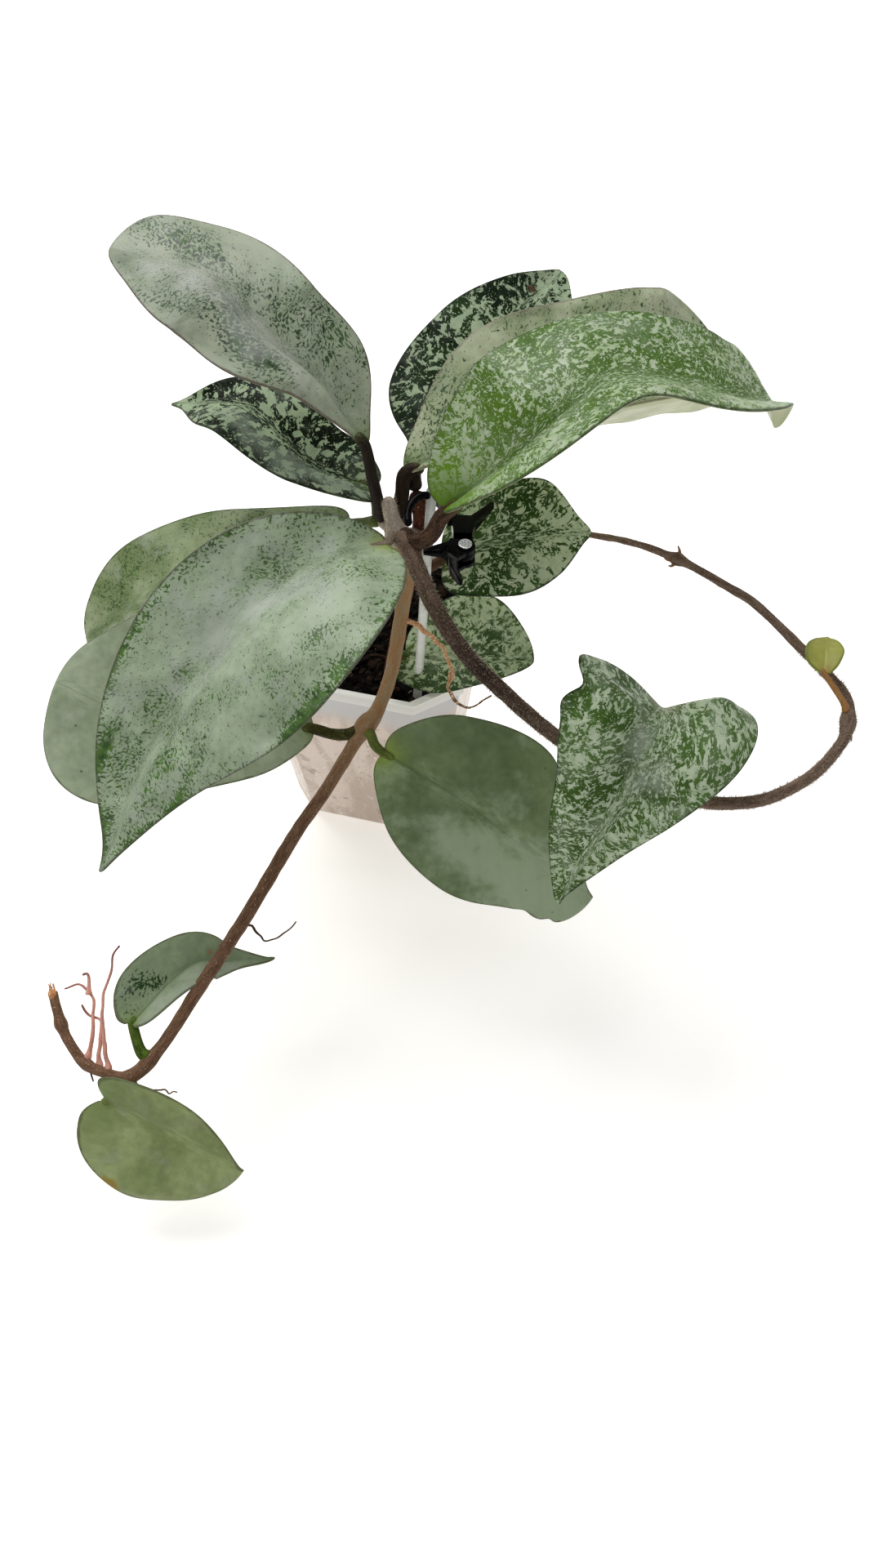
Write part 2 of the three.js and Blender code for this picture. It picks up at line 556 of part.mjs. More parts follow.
// The clip's back half: a disc between the front's, a claw that hooks round the stake and the
// main stem from behind, and a lever
function clipBack() {
  const claw = [
    [37, -31.5], [33.2, -25.6], [29.5, -22.8], [25.7, -23.9], [23.3, -27.5], [22.9, -30.8], [23.4, -34],
  ];
  const body = [[41.2, -37.6], [40.6, -34.5], [39.6, -29.4]];
  const lever = [[42, -31], [44.2, -26.4], [46.3, -21.9]];
  const [discFoot, discTop] = BACK_DISC;
  const [clawFoot, clawTop] = CLAW;
  return disc(CLIP_DISC, discFoot, discTop)
    .add(bar([CLIP_PIVOT, [41, -36]], [4.8, 5], [discFoot, discFoot], [discTop, discTop]))
    .add(bar(body, [5.2, 7.2], [CLIP_BOTTOM + 0.4, CLIP_BOTTOM + 0.4], [CLIP_TOP, clawTop]))
    .add(bar(claw, [3.4, 1.4], [clawFoot, clawFoot], [clawTop, clawTop]))
    .add(bar(lever, [2.8, 1], [CLIP_BOTTOM + 1, CLIP_BOTTOM + 3], [clawTop, clawTop]))
    .subtract(pinHole());
}

// The spring wound round the pin between the halves, with a short leg at each end
function clipSpring() {
  const steps = 10;
  const [px, py] = CLIP_PIVOT;
  const coil = [];
  for (let i = 0; i <= SPRING_TURNS * steps; i += 1) {
    const turn = (2 * Math.PI * i) / steps;
    const z = SPRING_FOOT + (SPRING_PITCH * i) / steps;
    coil.push([px + SPRING_RADIUS * Math.cos(turn), py + SPRING_RADIUS * Math.sin(turn), z]);
  }
  const [first, last] = [coil[0], coil[coil.length - 1]];
  const startLeg = [first[0] + 0.3, first[1] - SPRING_LEG, first[2]];
  const endLeg = [last[0] - SPRING_LEG, last[1] + 0.3, last[2]];
  return tube([startLeg, ...coil, endLeg], [SPRING_WIRE, SPRING_WIRE], 6, 0.9);
}

// The pin with a head at each end
function clipPin() {
  const low = CLIP_BOTTOM - GAP;
  const high = CLIP_TOP + GAP;
  return disc(PIN_RADIUS, low - PIN_HEAD_HEIGHT, high + PIN_HEAD_HEIGHT, 16)
    .add(disc(PIN_HEAD, low - PIN_HEAD_HEIGHT, low))
    .add(disc(PIN_HEAD, high, high + PIN_HEAD_HEIGHT));
}

// A stem with its branches and aerial roots as one solid; grown by a gap to cut its neighbours
function stemSolid(stem, grow = 0) {
  let solid = solidOf(tube(stem.points, stem.radii, 8, 7, stem.swellings, grow));
  for (const branch of stem.branches) {
    solid = solid.add(solidOf(tube(branch.points, branch.radii, 8, 4, branch.swellings, grow)));
  }
  for (const root of stem.roots) {
    solid = solid.add(solidOf(tube(root, [ROOT_RADIUS, 0.7 * ROOT_RADIUS], 4, 4, [], grow)));
  }
  return solid;
}

// A leaf's stalk, from its stem to just inside the blade
function stalkSolid(leaf, grow = 0) {
  const radius = leaf.stalkRadius ?? STALK_RADIUS;
  const rib = new THREE.CatmullRomCurve3(leaf.rib.map(vec), false, 'catmullrom', 0.5);
  const route = [...leaf.stalk, rib.getPoint(0.05).toArray()];
  return solidOf(tube(route, [radius, 0.8 * radius], 6, 4, [], grow));
}

const plant = new THREE.Group();

function addPiece(name, geometry, colour, roughness, metalness = 0) {
  const material = new THREE.MeshStandardMaterial({ color: colour, roughness, metalness });
  const mesh = new THREE.Mesh(geometry, material);
  mesh.name = name;
  plant.add(mesh);
}

const stakeRoute = [STAKE_FOOT, STAKE_TOP];
addPiece('pot', potGeometry(), 0xe4e2df, 0.35);
let soil = solidOf(soilGeometry());
soil = soil.subtract(solidOf(tube(stakeRoute, [STAKE_RADIUS, STAKE_RADIUS], 8, 200, [], GAP)));
soil = soil.subtract(stemSolid(STEMS.main_stem, GAP));
addPiece('soil', geometryOf(soil), 0x1d1a18, 0.95);
addPiece('stake', tube(stakeRoute, [STAKE_RADIUS, STAKE_RADIUS], 8, 200), 0xdfe3e2, 0.3);
addPiece('clip_front', geometryOf(clipFront()), 0x17171a, 0.3);
addPiece('clip_back', geometryOf(clipBack()), 0x17171a, 0.3);
addPiece('clip_spring', clipSpring(), 0xb9bcc0, 0.25, 1);
addPiece('clip_pin', geometryOf(clipPin()), 0xe3e4e6, 0.2, 1);

// Where stems and stalks meet at a node, the later one is cut clear of the earlier ones
let taken = solidOf(tube(stakeRoute, [STAKE_RADIUS, STAKE_RADIUS], 8, 200, [], GAP));
for (const [name, stem] of Object.entries(STEMS)) {
  addPiece(name, geometryOf(stemSolid(stem).subtract(taken)), stem.colour, 0.9);
  taken = taken.add(stemSolid(stem, GAP));
}
for (const [name, leaf] of Object.entries(LEAVES)) {
  const solid = solidOf(bladeGeometry(leaf)).add(stalkSolid(leaf));
  addPiece(name, geometryOf(solid.subtract(taken)), leaf.colour, 0.5);
  taken = taken.add(stalkSolid(leaf, GAP));
}

export default plant;
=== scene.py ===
"""A young hoya in a square nursery pot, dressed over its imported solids. Shapes are in millimetres."""
import math
import bmesh
import bpy
import numpy as np
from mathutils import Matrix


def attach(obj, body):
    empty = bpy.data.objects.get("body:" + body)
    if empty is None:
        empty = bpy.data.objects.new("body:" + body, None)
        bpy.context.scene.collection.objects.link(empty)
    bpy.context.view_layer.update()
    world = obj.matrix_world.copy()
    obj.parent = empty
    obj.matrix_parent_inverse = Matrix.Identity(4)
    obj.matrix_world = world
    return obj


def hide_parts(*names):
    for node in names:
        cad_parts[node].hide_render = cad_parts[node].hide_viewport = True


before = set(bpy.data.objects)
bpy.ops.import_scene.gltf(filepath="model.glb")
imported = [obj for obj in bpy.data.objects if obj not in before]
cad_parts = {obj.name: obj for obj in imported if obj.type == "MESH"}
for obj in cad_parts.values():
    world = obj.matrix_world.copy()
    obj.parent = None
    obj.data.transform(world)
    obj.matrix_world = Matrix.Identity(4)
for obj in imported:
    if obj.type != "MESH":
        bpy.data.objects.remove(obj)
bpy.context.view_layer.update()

MM = 0.001
PLANT = "plant"
JAW = "clip_jaw"

# Camera: the photograph's place and angle, for an image of 1080 by 1920
IMAGE_HEIGHT = 1920
FOCAL_PIXELS = 1431
SENSOR = 36
CAMERA_PLACE = (0.098, -0.287, 0.381)
CAMERA_DOWN = 52.3
CAMERA_LEFT = 14.2


def in_scene(name, data):
    """A new object with this data, in the scene."""
    thing = bpy.data.objects.new(name, data)
    bpy.context.scene.collection.objects.link(thing)
    return thing


def make_camera():
    """A camera that looks down by CAMERA_DOWN degrees and to the left of +Y by CAMERA_LEFT degrees."""
    data = bpy.data.cameras.new("camera")
    data.sensor_width = SENSOR
    data.lens = SENSOR * FOCAL_PIXELS / IMAGE_HEIGHT
    data.clip_start, data.clip_end = 0.01, 20
    camera = in_scene("camera", data)
    camera.location = CAMERA_PLACE
    camera.rotation_euler = (math.radians(90 - CAMERA_DOWN), 0, math.radians(CAMERA_LEFT))
    bpy.context.scene.camera = camera


make_camera()


# Shapes: numpy arrays of points, joined into closed forms
def mix(a, b, t):
    """From a at t 0 to b at t 1 in a straight line."""
    return a + (b - a) * t


def smooth(t):
    """0 below 0, 1 above 1, and an S-shaped rise between."""
    t = np.clip(t, 0, 1)
    return t * t * (3 - 2 * t)


def unit(v):
    """Vectors made one long."""
    return v / np.linalg.norm(v, axis=-1, keepdims=True)


def lumps(points, size, seed=0):
    """Smooth noise from -1 to 1: random values at the corners of cubes of that size, joined by S-curves."""
    place = points / size + 19.7 * seed + 1000
    cell = np.floor(place).astype(np.int64)
    t = smooth(place - cell)
    total = 0
    for corner in np.ndindex(2, 2, 2):
        k = cell + np.array(corner)
        h = k[..., 0] * 374761393 + k[..., 1] * 668265263 + k[..., 2] * 2147483647 + seed * 97531
        h = (h ^ (h >> 13)) * 1274126177
        value = ((h ^ (h >> 16)) & 65535) / 32767.5 - 1
        weight = np.prod(np.where(np.array(corner) == 1, t, 1 - t), axis=-1)
        total = total + value * weight
    return total


DIRECTION_REACH = 0.6  # mm to each side of a place, between which its direction is taken


def route(points, share):
    """A smooth line through the points: each stretch is a cubic whose slope at a point is half the step
    between its neighbours. Gives places and directions at these shares of its length, and its length."""
    p = np.array(points, float)
    ends = np.vstack([2 * p[0] - p[1], p, 2 * p[-1] - p[-2]])
    t = np.linspace(0, len(p) - 1, 80 * len(p))
    i = np.minimum(t.astype(int), len(p) - 2)
    f = (t - i)[:, None]
    a, b, c, d = (ends[i + n] for n in range(4))
    line = 0.5 * (2 * b + (c - a) * f + (2 * a - 5 * b + 4 * c - d) * f**2 + (3 * b - a - 3 * c + d) * f**3)
    run = np.concatenate([[0], np.cumsum(np.linalg.norm(np.diff(line, axis=0), axis=1))])
    length = run[-1]
    at = lambda s: np.stack([np.interp(s * length, run, line[:, k]) for k in range(3)], -1)
    share, near = np.array(share), DIRECTION_REACH / length
    return at(share), unit(at(np.minimum(share + near, 1)) - at(np.maximum(share - near, 0))), length


def loft(rings, **values):
    """A closed form from rings of points, shaped (rings, corners, 3): quads join each ring to the next, and
    a fan round the middle of the first and of the last closes the ends. Values are numbers per point. All
    faces are turned outwards by the sign of the volume."""
    count, corners = rings.shape[:2]
    points = np.concatenate([rings.reshape(-1, 3), rings[[0, -1]].mean(1)])
    i = np.arange(count - 1)[:, None] * corners
    j = np.arange(corners)
    k = (j + 1) % corners
    quads = np.stack(np.broadcast_arrays(i + j, i + k, i + k + corners, i + j + corners), -1).reshape(-1, 4)
    top = (count - 1) * corners
    hub = np.full(corners, count * corners)
    fans = np.concatenate([np.stack([hub, k, j], -1), np.stack([hub + 1, top + j, top + k], -1)])
    flat = np.concatenate([fans, quads[:, :3], quads[:, [0, 2, 3]]])
    a, b, c = (points[flat[:, n]] - points.mean(0) for n in range(3))
    if (np.cross(a, b) * c).sum() < 0:
        quads, fans = quads[:, ::-1], fans[:, ::-1]
    per_point = {}
    for name, value in values.items():
        value = np.broadcast_to(value, rings.shape[:2] + np.shape(value)[2:]).astype(float)
        tail = value.shape[2:]
        per_point[name] = np.concatenate([value.reshape(-1, *tail), value[[0, -1]].mean(1)])
    return {"points": points, "quads": quads, "tris": fans, "values": per_point}


def join(*forms):
    """Several forms as one."""
    start = np.cumsum([0] + [len(f["points"]) for f in forms])
    stack = lambda key: np.concatenate([f[key] + n for f, n in zip(forms, start)])
    names = forms[0]["values"]
    return {
        "points": np.concatenate([f["points"] for f in forms]),
        "quads": stack("quads"),
        "tris": stack("tris"),
        "values": {n: np.concatenate([f["values"][n] for f in forms]) for n in names},
    }


def scatter(form, places, axes, **values):
    """Copies of a form, one at each place: a copy's point is its place plus x, y and z times its three axes.
    Values are one number a copy."""
    n, m = len(places), len(form["points"])
    points = places[:, None] + np.einsum("mk,nkj->nmj", form["points"], axes)
    start = (np.arange(n) * m)[:, None, None]
    return {
        "points": points.reshape(-1, 3),
        "quads": (form["quads"] + start).reshape(-1, 4),
        "tris": (form["tris"] + start).reshape(-1, 3),
        "values": {k: np.repeat(v, m) for k, v in values.items()},
    }


FIXED_AXES = [[0, 0, 1], [0, 1, 0], [1, 0, 0], [1, 0, 1], [1, 1, 0], [0, 1, 1], [1, 0, -1]]


def side_frames(ahead):
    """Two directions square to each direction, from the fixed axis that the line turns towards least."""
    axes = unit(np.array(FIXED_AXES, float))
    axis = axes[np.abs(ahead @ axes.T).max(0).argmin()]
    side = unit(np.cross(ahead, axis))
    return side, np.cross(side, ahead)


def swollen(radii, swellings, share, length):
    """A stem's radius at shares of its length: it goes evenly from start to end, and nodes, given as (share,
    extra, reach), swell it by a bell curve."""
    radius = mix(*radii, share)
    for place, extra, reach in swellings:
        radius = radius + extra * np.exp(-(((share - place) * length) / reach) ** 2)
    return radius


GRAIN_STRETCH = 3.0
KINK_SIZE = 3.0


def tube(points, radii, sides=18, step=0.9, swellings=(), rough=0.0, kinks=0.0, seed=0):
    """A round form along a smooth line. A stem's radius wavers with noise stretched along the line, both ends
    are round, and kinks push the line about by up to that many mm. Values: share of the length, and grain,
    a place in a straightened copy of the form."""
    length = route(points, [0, 1])[2]
    arc = 1 - np.cos(np.linspace(0.15, math.pi / 2, 5))
    first, last = radii[0] * arc, length - radii[1] * arc[::-1]
    middle = np.linspace(first[-1], last[0], max(3, int(length / step)))[1:-1]
    run = np.concatenate([first, middle, last])
    share = run / length
    centre, ahead, _ = route(points, share)
    side, up = side_frames(ahead)
    radius = swollen(radii, swellings, share, length)[:, None]
    off = np.clip(np.minimum(run / radii[0], (length - run) / radii[1]), 0, 1)
    cap = np.sqrt(1 - (1 - off) ** 2)[:, None]
    turn = np.linspace(0, 2 * math.pi, sides, endpoint=False)
    round_about = np.cos(turn)[None, :, None] * side[:, None] + np.sin(turn)[None, :, None] * up[:, None]
    straight = np.stack(np.broadcast_arrays(run[:, None], radius * np.cos(turn), radius * np.sin(turn)), -1)
    waver = lumps(straight * [1 / GRAIN_STRETCH, 1, 1], 0.9, seed) + 0.6 * lumps(straight, 2.6, seed + 3)
    bent = np.stack([lumps(centre, KINK_SIZE, seed + n) for n in range(3)], -1) * smooth(share / 0.1)[:, None]
    rings = (centre + kinks * bent)[:, None] + ((radius + rough * waver) * cap)[..., None] * round_about
    return loft(rings, share=share[:, None], grain=straight)


def make_piece(name, form, material, slot, stands_for=(), flat=False):
    """A piece on the plant's body, from a form in millimetres."""
    mesh = bpy.data.meshes.new(name)
    points, quads, tris = form["points"] * MM, form["quads"], form["tris"]
    mesh.vertices.add(len(points))
    mesh.vertices.foreach_set("co", points.astype(np.float32).ravel())
    mesh.loops.add(quads.size + tris.size)
    mesh.loops.foreach_set("vertex_index", np.concatenate([quads.ravel(), tris.ravel()]).astype(np.int32))
    starts = np.concatenate([np.arange(len(quads)) * 4, quads.size + np.arange(len(tris)) * 3])
    mesh.polygons.add(len(starts))
    mesh.polygons.foreach_set("loop_start", starts.astype(np.int32))
    mesh.update(calc_edges=True)
    mesh.validate()
    mesh.polygons.foreach_set("use_smooth", np.full(len(mesh.polygons), not flat))
    for key, value in form["values"].items():
        kind, field = ("FLOAT_VECTOR", "vector") if value.ndim == 2 else ("FLOAT", "value")
        layer = mesh.attributes.new(key, kind, "POINT")
        layer.data.foreach_set(field, value.astype(np.float32).ravel())
    place_piece(name, mesh, material, PLANT, slot, stands_for)


def place_piece(name, mesh, material, body, slot, stands_for):
    """An object with this mesh and material, which rides on a body and stands for CAD nodes. The slot is not
    used.
    """
    mesh.materials.append(material)
    piece = in_scene(name, mesh)
    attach(piece, body)
    if stands_for:
        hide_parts(*stands_for)


WELD = 1e-6  # metres between corners that are one
FLAT, SHARP, CREASE = (math.radians(angle) for angle in (1.5, 28, 35))


def softened_copy(node, name, material, body, slot, round_mm):
    """A CAD node's mesh with its loose triangles merged, faces within FLAT of each other joined, edges that
    turn by more than SHARP rounded, and those that still turn by more than CREASE shaded as edges."""
    work = bmesh.new()
    work.from_mesh(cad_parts[node].data)
    bmesh.ops.remove_doubles(work, verts=work.verts, dist=WELD)
    bmesh.ops.dissolve_limit(work, angle_limit=FLAT, verts=work.verts, edges=work.edges)
    sharp = [e for e in work.edges if len(e.link_faces) == 2 and e.calc_face_angle() > SHARP]
    bmesh.ops.bevel(work, geom=sharp, offset=round_mm * MM, segments=3, profile=0.6, affect="EDGES",
                    clamp_overlap=True)
    bmesh.ops.triangulate(work, faces=[f for f in work.faces if len(f.verts) > 4])
    mesh = bpy.data.meshes.new(name)
    work.to_mesh(mesh)
    work.free()
    mesh.polygons.foreach_set("use_smooth", np.ones(len(mesh.polygons), bool))
    mesh.set_sharp_from_angle(angle=CREASE)
    place_piece(name, mesh, material, body, slot, [node])


# Materials
# Settings for two nodes. Mix blends two colours by a factor. MapRange takes its inputs by number: a value,
# where its S-shaped rise starts and ends, and what it gives before and after, 0 and 1 unless given.
COLOURS = {"data_type": "RGBA"}
S_CURVE = {"interpolation_type": "SMOOTHSTEP"}


def colour(hexed):
    """An sRGB hex value as linear red, green and blue, with full alpha."""
    c = np.array([int(hexed[i : i + 2], 16) for i in (1, 3, 5)]) / 255
    return (*np.where(c <= 0.04045, c / 12.92, ((c + 0.055) / 1.055) ** 2.4).tolist(), 1.0)


def add(tree, kind, inputs=None, out=None, **settings):
    """Adds a node with its settings; an input is a value, a hex colour or a socket to link. Returns the
    output that is named, or the first one in use."""
    node = tree.nodes.new("ShaderNode" + kind)
    for name, value in settings.items():
        setattr(node, name, value)
    for name, value in (inputs or {}).items():
        by_name = (s for s in node.inputs if s.name == name and s.enabled)
        socket = node.inputs[name] if isinstance(name, int) else next(by_name)
        if isinstance(value, bpy.types.NodeSocket):
            tree.links.new(value, socket)
        else:
            socket.default_value = colour(value) if isinstance(value, str) else value
    return node.outputs[out] if out else next((s for s in node.outputs if s.enabled), None)


def surface(name):
    """A new, empty material and its tree."""
    material = bpy.data.materials.new(name)
    material.use_nodes = True
    material.node_tree.nodes.clear()
    return material, material.node_tree


def finish_surface(material, inputs):
    """Gives the material its shader, with these inputs, and its output. Returns the material."""
    tree = material.node_tree
    add(tree, "OutputMaterial", {"Surface": add(tree, "BsdfPrincipled", inputs)})
    return material


BLADE_VALUES = ("cover", "base", "painted_sheen", "veins", "from_rib", "from_margin", "stain", "under")
SWAY = 4.0  # mm across which the marks are pushed about, so that they don't line up


def leaf_skin(name, look):
    """Living leaf: a waxy skin over green tissue, with air pockets that show as silver. Marks of two sizes
    lie on a ground colour; their density drifts slowly over the blade. Rib, veins and margin have their own
    tint, a painted sheen greys and lightens the skin here and there, the underside is plain. Wax gives a
    soft, wide shine. Its pores are drawn at 0.5 mm, far coarser than real ones, so that they show."""
    material, tree = surface(name)
    vein = add(tree, "Attribute", out="Vector", attribute_name="vein")
    given = {key: add(tree, "Attribute", out="Fac", attribute_name=key) for key in BLADE_VALUES}
    sway = add(tree, "TexNoise", {"Vector": vein, "Scale": 1 / 5.0, "Detail": 1.0}, out="Color")
    moved = add(tree, "VectorMath", {0: sway, 1: (0.5, 0.5, 0.5)}, operation="SUBTRACT")
    moved = add(tree, "VectorMath", {0: moved, 1: (SWAY, SWAY, SWAY), 2: vein}, operation="MULTIPLY_ADD")
    drawn = add(tree, "VectorMath", {0: moved, 1: (1 / look["stretch"], 1, 1)}, operation="MULTIPLY")
    blotch, fleck, slow, fine, mist, pores = (  # each with its place, size in mm, detail and roughness
        add(tree, "TexNoise", {"Vector": at, "Scale": 1 / size, "Detail": detail, "Roughness": rough})
        for at, size, detail, rough in [
            (drawn, look["blotch"], 6.0, look["jagged"]), (drawn, look["fleck"], 3.0, 0.6),
            (vein, 14.0, 2.0, 0.5), (vein, 2.2, 3.0, 0.5), (vein, 9.0, 5.0, 0.65), (vein, 0.5, 2.0, 0.5)])

    cover = add(tree, "Math", {0: slow, 1: look["drift"], 2: given["cover"]}, operation="MULTIPLY_ADD")
    big, small = (add(tree, "Math", {0: noise, 1: at + 0.5 * look["drift"]}, operation="SUBTRACT")
                  for noise, at in [(blotch, look["blotch_at"]), (fleck, look["fleck_at"])])
    marks = add(tree, "Math", {0: big, 1: small}, operation="MAXIMUM")
    marks = add(tree, "Math", {0: marks, 1: cover}, operation="ADD")
    mask = add(tree, "MapRange", {0: marks, 1: -look["soft"], 2: look["soft"]}, **S_CURVE)
    patchy, uneven, cloudy, shine = (  # each with where it starts and ends, and what it gives there
        add(tree, "MapRange", {0: noise, 1: start, 2: end, 3: low, 4: high}, **S_CURVE)
        for noise, start, end, low, high in [
            (slow, 0.38, 0.62, 0.0, 1.0), (fine, 0.35, 0.65, 0.0, 1.0), (fine, 0.3, 0.7, 0.9, 1.08),
            (fine, 0.3, 0.7, look["rough"] - 0.06, look["rough"] + 0.08)])
    spread = {}
    for key, noise, share, start, end, show in [
            # painted sheen: a pale grey haze in place of light reflected off the wax, where the mist noise
            # and the sheen spots rise
            ("painted_sheen", mist, 1.0, 0.48, 0.85, look["painted_sheen_show"]),
            ("from_rib", fine, -1.0, 0.5, -0.4, look["rib_show"]),
            ("from_margin", fine, -1.4, 0.1, -0.5, look["margin_show"]),
            ("stain", mist, 1.6, 1.15, 1.6, 1.0)]:
        ragged = add(tree, "Math", {0: noise, 1: share, 2: given[key]}, operation="MULTIPLY_ADD")
        spread[key] = add(tree, "MapRange", {0: ragged, 1: start, 2: end, 3: 0.0, 4: show}, **S_CURVE)
    dots = add(tree, "TexVoronoi", {"Vector": vein, "Scale": 1 / 6.0, "Randomness": 1.0}, out="Distance")
    dots = add(tree, "MapRange", {0: dots, 1: 0.075, 2: 0.04, 3: 0.0, 4: look["dots"]}, **S_CURVE)

    ground, mark, under = (add(tree, "Mix", {"Factor": by, "A": look[key][0], "B": look[key][1]}, **COLOURS)
                           for by, key in [(patchy, "ground"), (uneven, "marks"), (patchy, "under")])
    ground = add(tree, "Mix", {"Factor": given["base"], "A": ground, "B": look["base"]}, **COLOURS)
    under = add(tree, "Mix", {"Factor": spread["from_rib"], "A": under, "B": look["vein"]}, **COLOURS)
    tint = add(tree, "Mix", {"Factor": mask, "A": ground, "B": mark}, **COLOURS)
    tint = add(tree, "VectorMath", {0: tint, "Scale": cloudy}, operation="SCALE")
    foot = add(tree, "Math", {0: given["base"], 1: 6.0}, operation="POWER")
    # Tints laid over the ground in turn; the second is painted sheen, a pale grey where light would glance
    # off the wax
    for by, over in [(foot, "base"), (spread["painted_sheen"], "painted_sheen"), (given["veins"], "vein"),
                     (spread["from_rib"], "vein"), (spread["from_margin"], "margin"),
                     (spread["stain"], "stain"), (dots, "stain")]:
        tint = add(tree, "Mix", {"Factor": by, "A": tint, "B": look[over]}, **COLOURS)
    tint = add(tree, "Mix", {"Factor": given["under"], "A": tint, "B": under}, **COLOURS)

    height = add(tree, "Math", {0: mask, 1: 0.35, 2: pores}, operation="MULTIPLY_ADD")
    bump = add(tree, "Bump", {"Height": height, "Strength": 0.6, "Distance": 0.06 * MM})
    return finish_surface(material, {"Base Color": tint, "Roughness": shine, "Normal": bump, "IOR": 1.4,
                                     "Specular IOR Level": look["gloss"]})


def bark_skin(name, near, far, streak, speck, rough=0.75, speck_at=0.68):
    """Stem bark: thin dry skin, streaked along the stem. Two pairs of colours, near the start and the end,
    and pale pores as specks. Dry bark scatters light, so it looks matte. Its finest grain is drawn at
    0.55 mm, coarser than it is, so that it shows."""
    material, tree = surface(name)
    grain = add(tree, "Attribute", out="Vector", attribute_name="grain")
    aged_share = add(tree, "Attribute", out="Fac", attribute_name="aged")
    long = add(tree, "VectorMath", {0: grain, 1: (0.2, 1, 1)}, operation="MULTIPLY")
    streaks = add(tree, "TexNoise", {"Vector": long, "Scale": 1 / streak, "Detail": 3.0})
    fine = add(tree, "TexNoise", {"Vector": grain, "Scale": 1 / 0.55, "Detail": 2.0})
    tone = add(tree, "Math", {0: fine, 1: 0.8, 2: streaks}, operation="MULTIPLY_ADD")
    tone = add(tree, "MapRange", {0: tone, 1: 0.65, 2: 1.15}, **S_CURVE)
    young, old = (add(tree, "Mix", {"Factor": tone, "A": dark, "B": light}, **COLOURS)
                  for dark, light in (near, far))
    tint = add(tree, "Mix", {"Factor": aged_share, "A": young, "B": old}, **COLOURS)
    dots = add(tree, "MapRange", {0: fine, 1: speck_at, 2: speck_at + 0.06}, **S_CURVE)
    tint = add(tree, "Mix", {"Factor": dots, "A": tint, "B": speck}, **COLOURS)
    height = add(tree, "Math", {0: streaks, 1: 1.5, 2: fine}, operation="MULTIPLY_ADD")
    bump = add(tree, "Bump", {"Height": height, "Strength": 0.8, "Distance": 0.12 * MM})
    return finish_surface(material, {"Base Color": tint, "Roughness": rough, "Normal": bump,
                                     "Specular IOR Level": 0.15})


def chance_skin(name, dark, light, rough):
    """Dry plant matter in small bits, such as hairs and bark: matte, and each bit has its own tone. Its
    fibres are drawn at 0.8 mm, coarser than they are, so that they show."""
    material, tree = surface(name)
    chance = add(tree, "Attribute", out="Fac", attribute_name="chance")
    place = add(tree, "TexCoord", out="Object")
    fine = add(tree, "TexNoise", {"Vector": place, "Scale": 1 / (0.8 * MM), "Detail": 2.0})
    tone = add(tree, "Math", {0: fine, 1: 0.6, 2: chance}, operation="MULTIPLY_ADD")
    tone = add(tree, "MapRange", {0: tone, 1: 0.2, 2: 1.3}, **S_CURVE)
    tint = add(tree, "Mix", {"Factor": tone, "A": dark, "B": light}, **COLOURS)
    bump = add(tree, "Bump", {"Height": fine, "Strength": 0.6, "Distance": 0.2 * MM})
    return finish_surface(material, {"Base Color": tint, "Roughness": rough, "Normal": bump,
                                     "Specular IOR Level": 0.1})


def pot_skin():
    """Moulded polypropylene, thin and milky. Where it holds soil, the dark mix and pale roots show through
    as pinkish tan with streaks; above the soil it looks grey white, and the thick rim band is brightest.
    Moulding leaves a satin skin. Its dust is drawn at 1.2 mm, coarser than it is, so that it shows."""
    material, tree = surface("milky_polypropylene_moulded")
    place = add(tree, "TexCoord", out="Object")
    height = add(tree, "SeparateXYZ", {"Vector": place}, out="Z")
    high = add(tree, "VectorMath", {0: place, 1: (1, 1, 0.35)}, operation="MULTIPLY")
    clumps, dark, roots, dust = (
        add(tree, "TexNoise", {"Vector": at, "Scale": 1 / (size * MM), "Detail": detail, "Distortion": bent})
        for at, size, detail, bent in [
            (high, 9, 4.0, 0.6), (place, 6, 5.0, 1.2), (place, 14, 2.0, 2.0), (place, 1.2, 3.0, 0.0)])
    near = add(tree, "Math", {0: roots, 1: 0.5}, operation="SUBTRACT")
    near = add(tree, "Math", {0: near}, operation="ABSOLUTE")
    wavy = add(tree, "Math", {0: clumps, 1: 8 * MM, 2: height}, operation="MULTIPLY_ADD")
    tint = "#d2c1b5"
    for value, start, end, show, over in [
            (clumps, 0.38, 0.62, 1.0, "#b9a698"), (dark, 0.6, 0.7, 0.75, "#85705f"),
            (near, 0.012, 0.004, 0.7, "#e2d8cd"), (wavy, 72 * MM, 84 * MM, 1.0, "#bcbabc"),
            (height, 84.6 * MM, 85.6 * MM, 1.0, "#dcdad8"), (height, 89.0 * MM, 89.8 * MM, 1.0, "#f0efee")]:
        shows = add(tree, "MapRange", {0: value, 1: start, 2: end, 3: 0.0, 4: show}, **S_CURVE)
        tint = add(tree, "Mix", {"Factor": shows, "A": tint, "B": over}, **COLOURS)
    satin = add(tree, "MapRange", {0: dust, 1: 0.3, 2: 0.7, 3: 0.28, 4: 0.42}, **S_CURVE)
    bump = add(tree, "Bump", {"Height": dust, "Strength": 0.4, "Distance": 0.05 * MM})
    return finish_surface(material, {"Base Color": tint, "Roughness": satin, "Normal": bump, "IOR": 1.49})


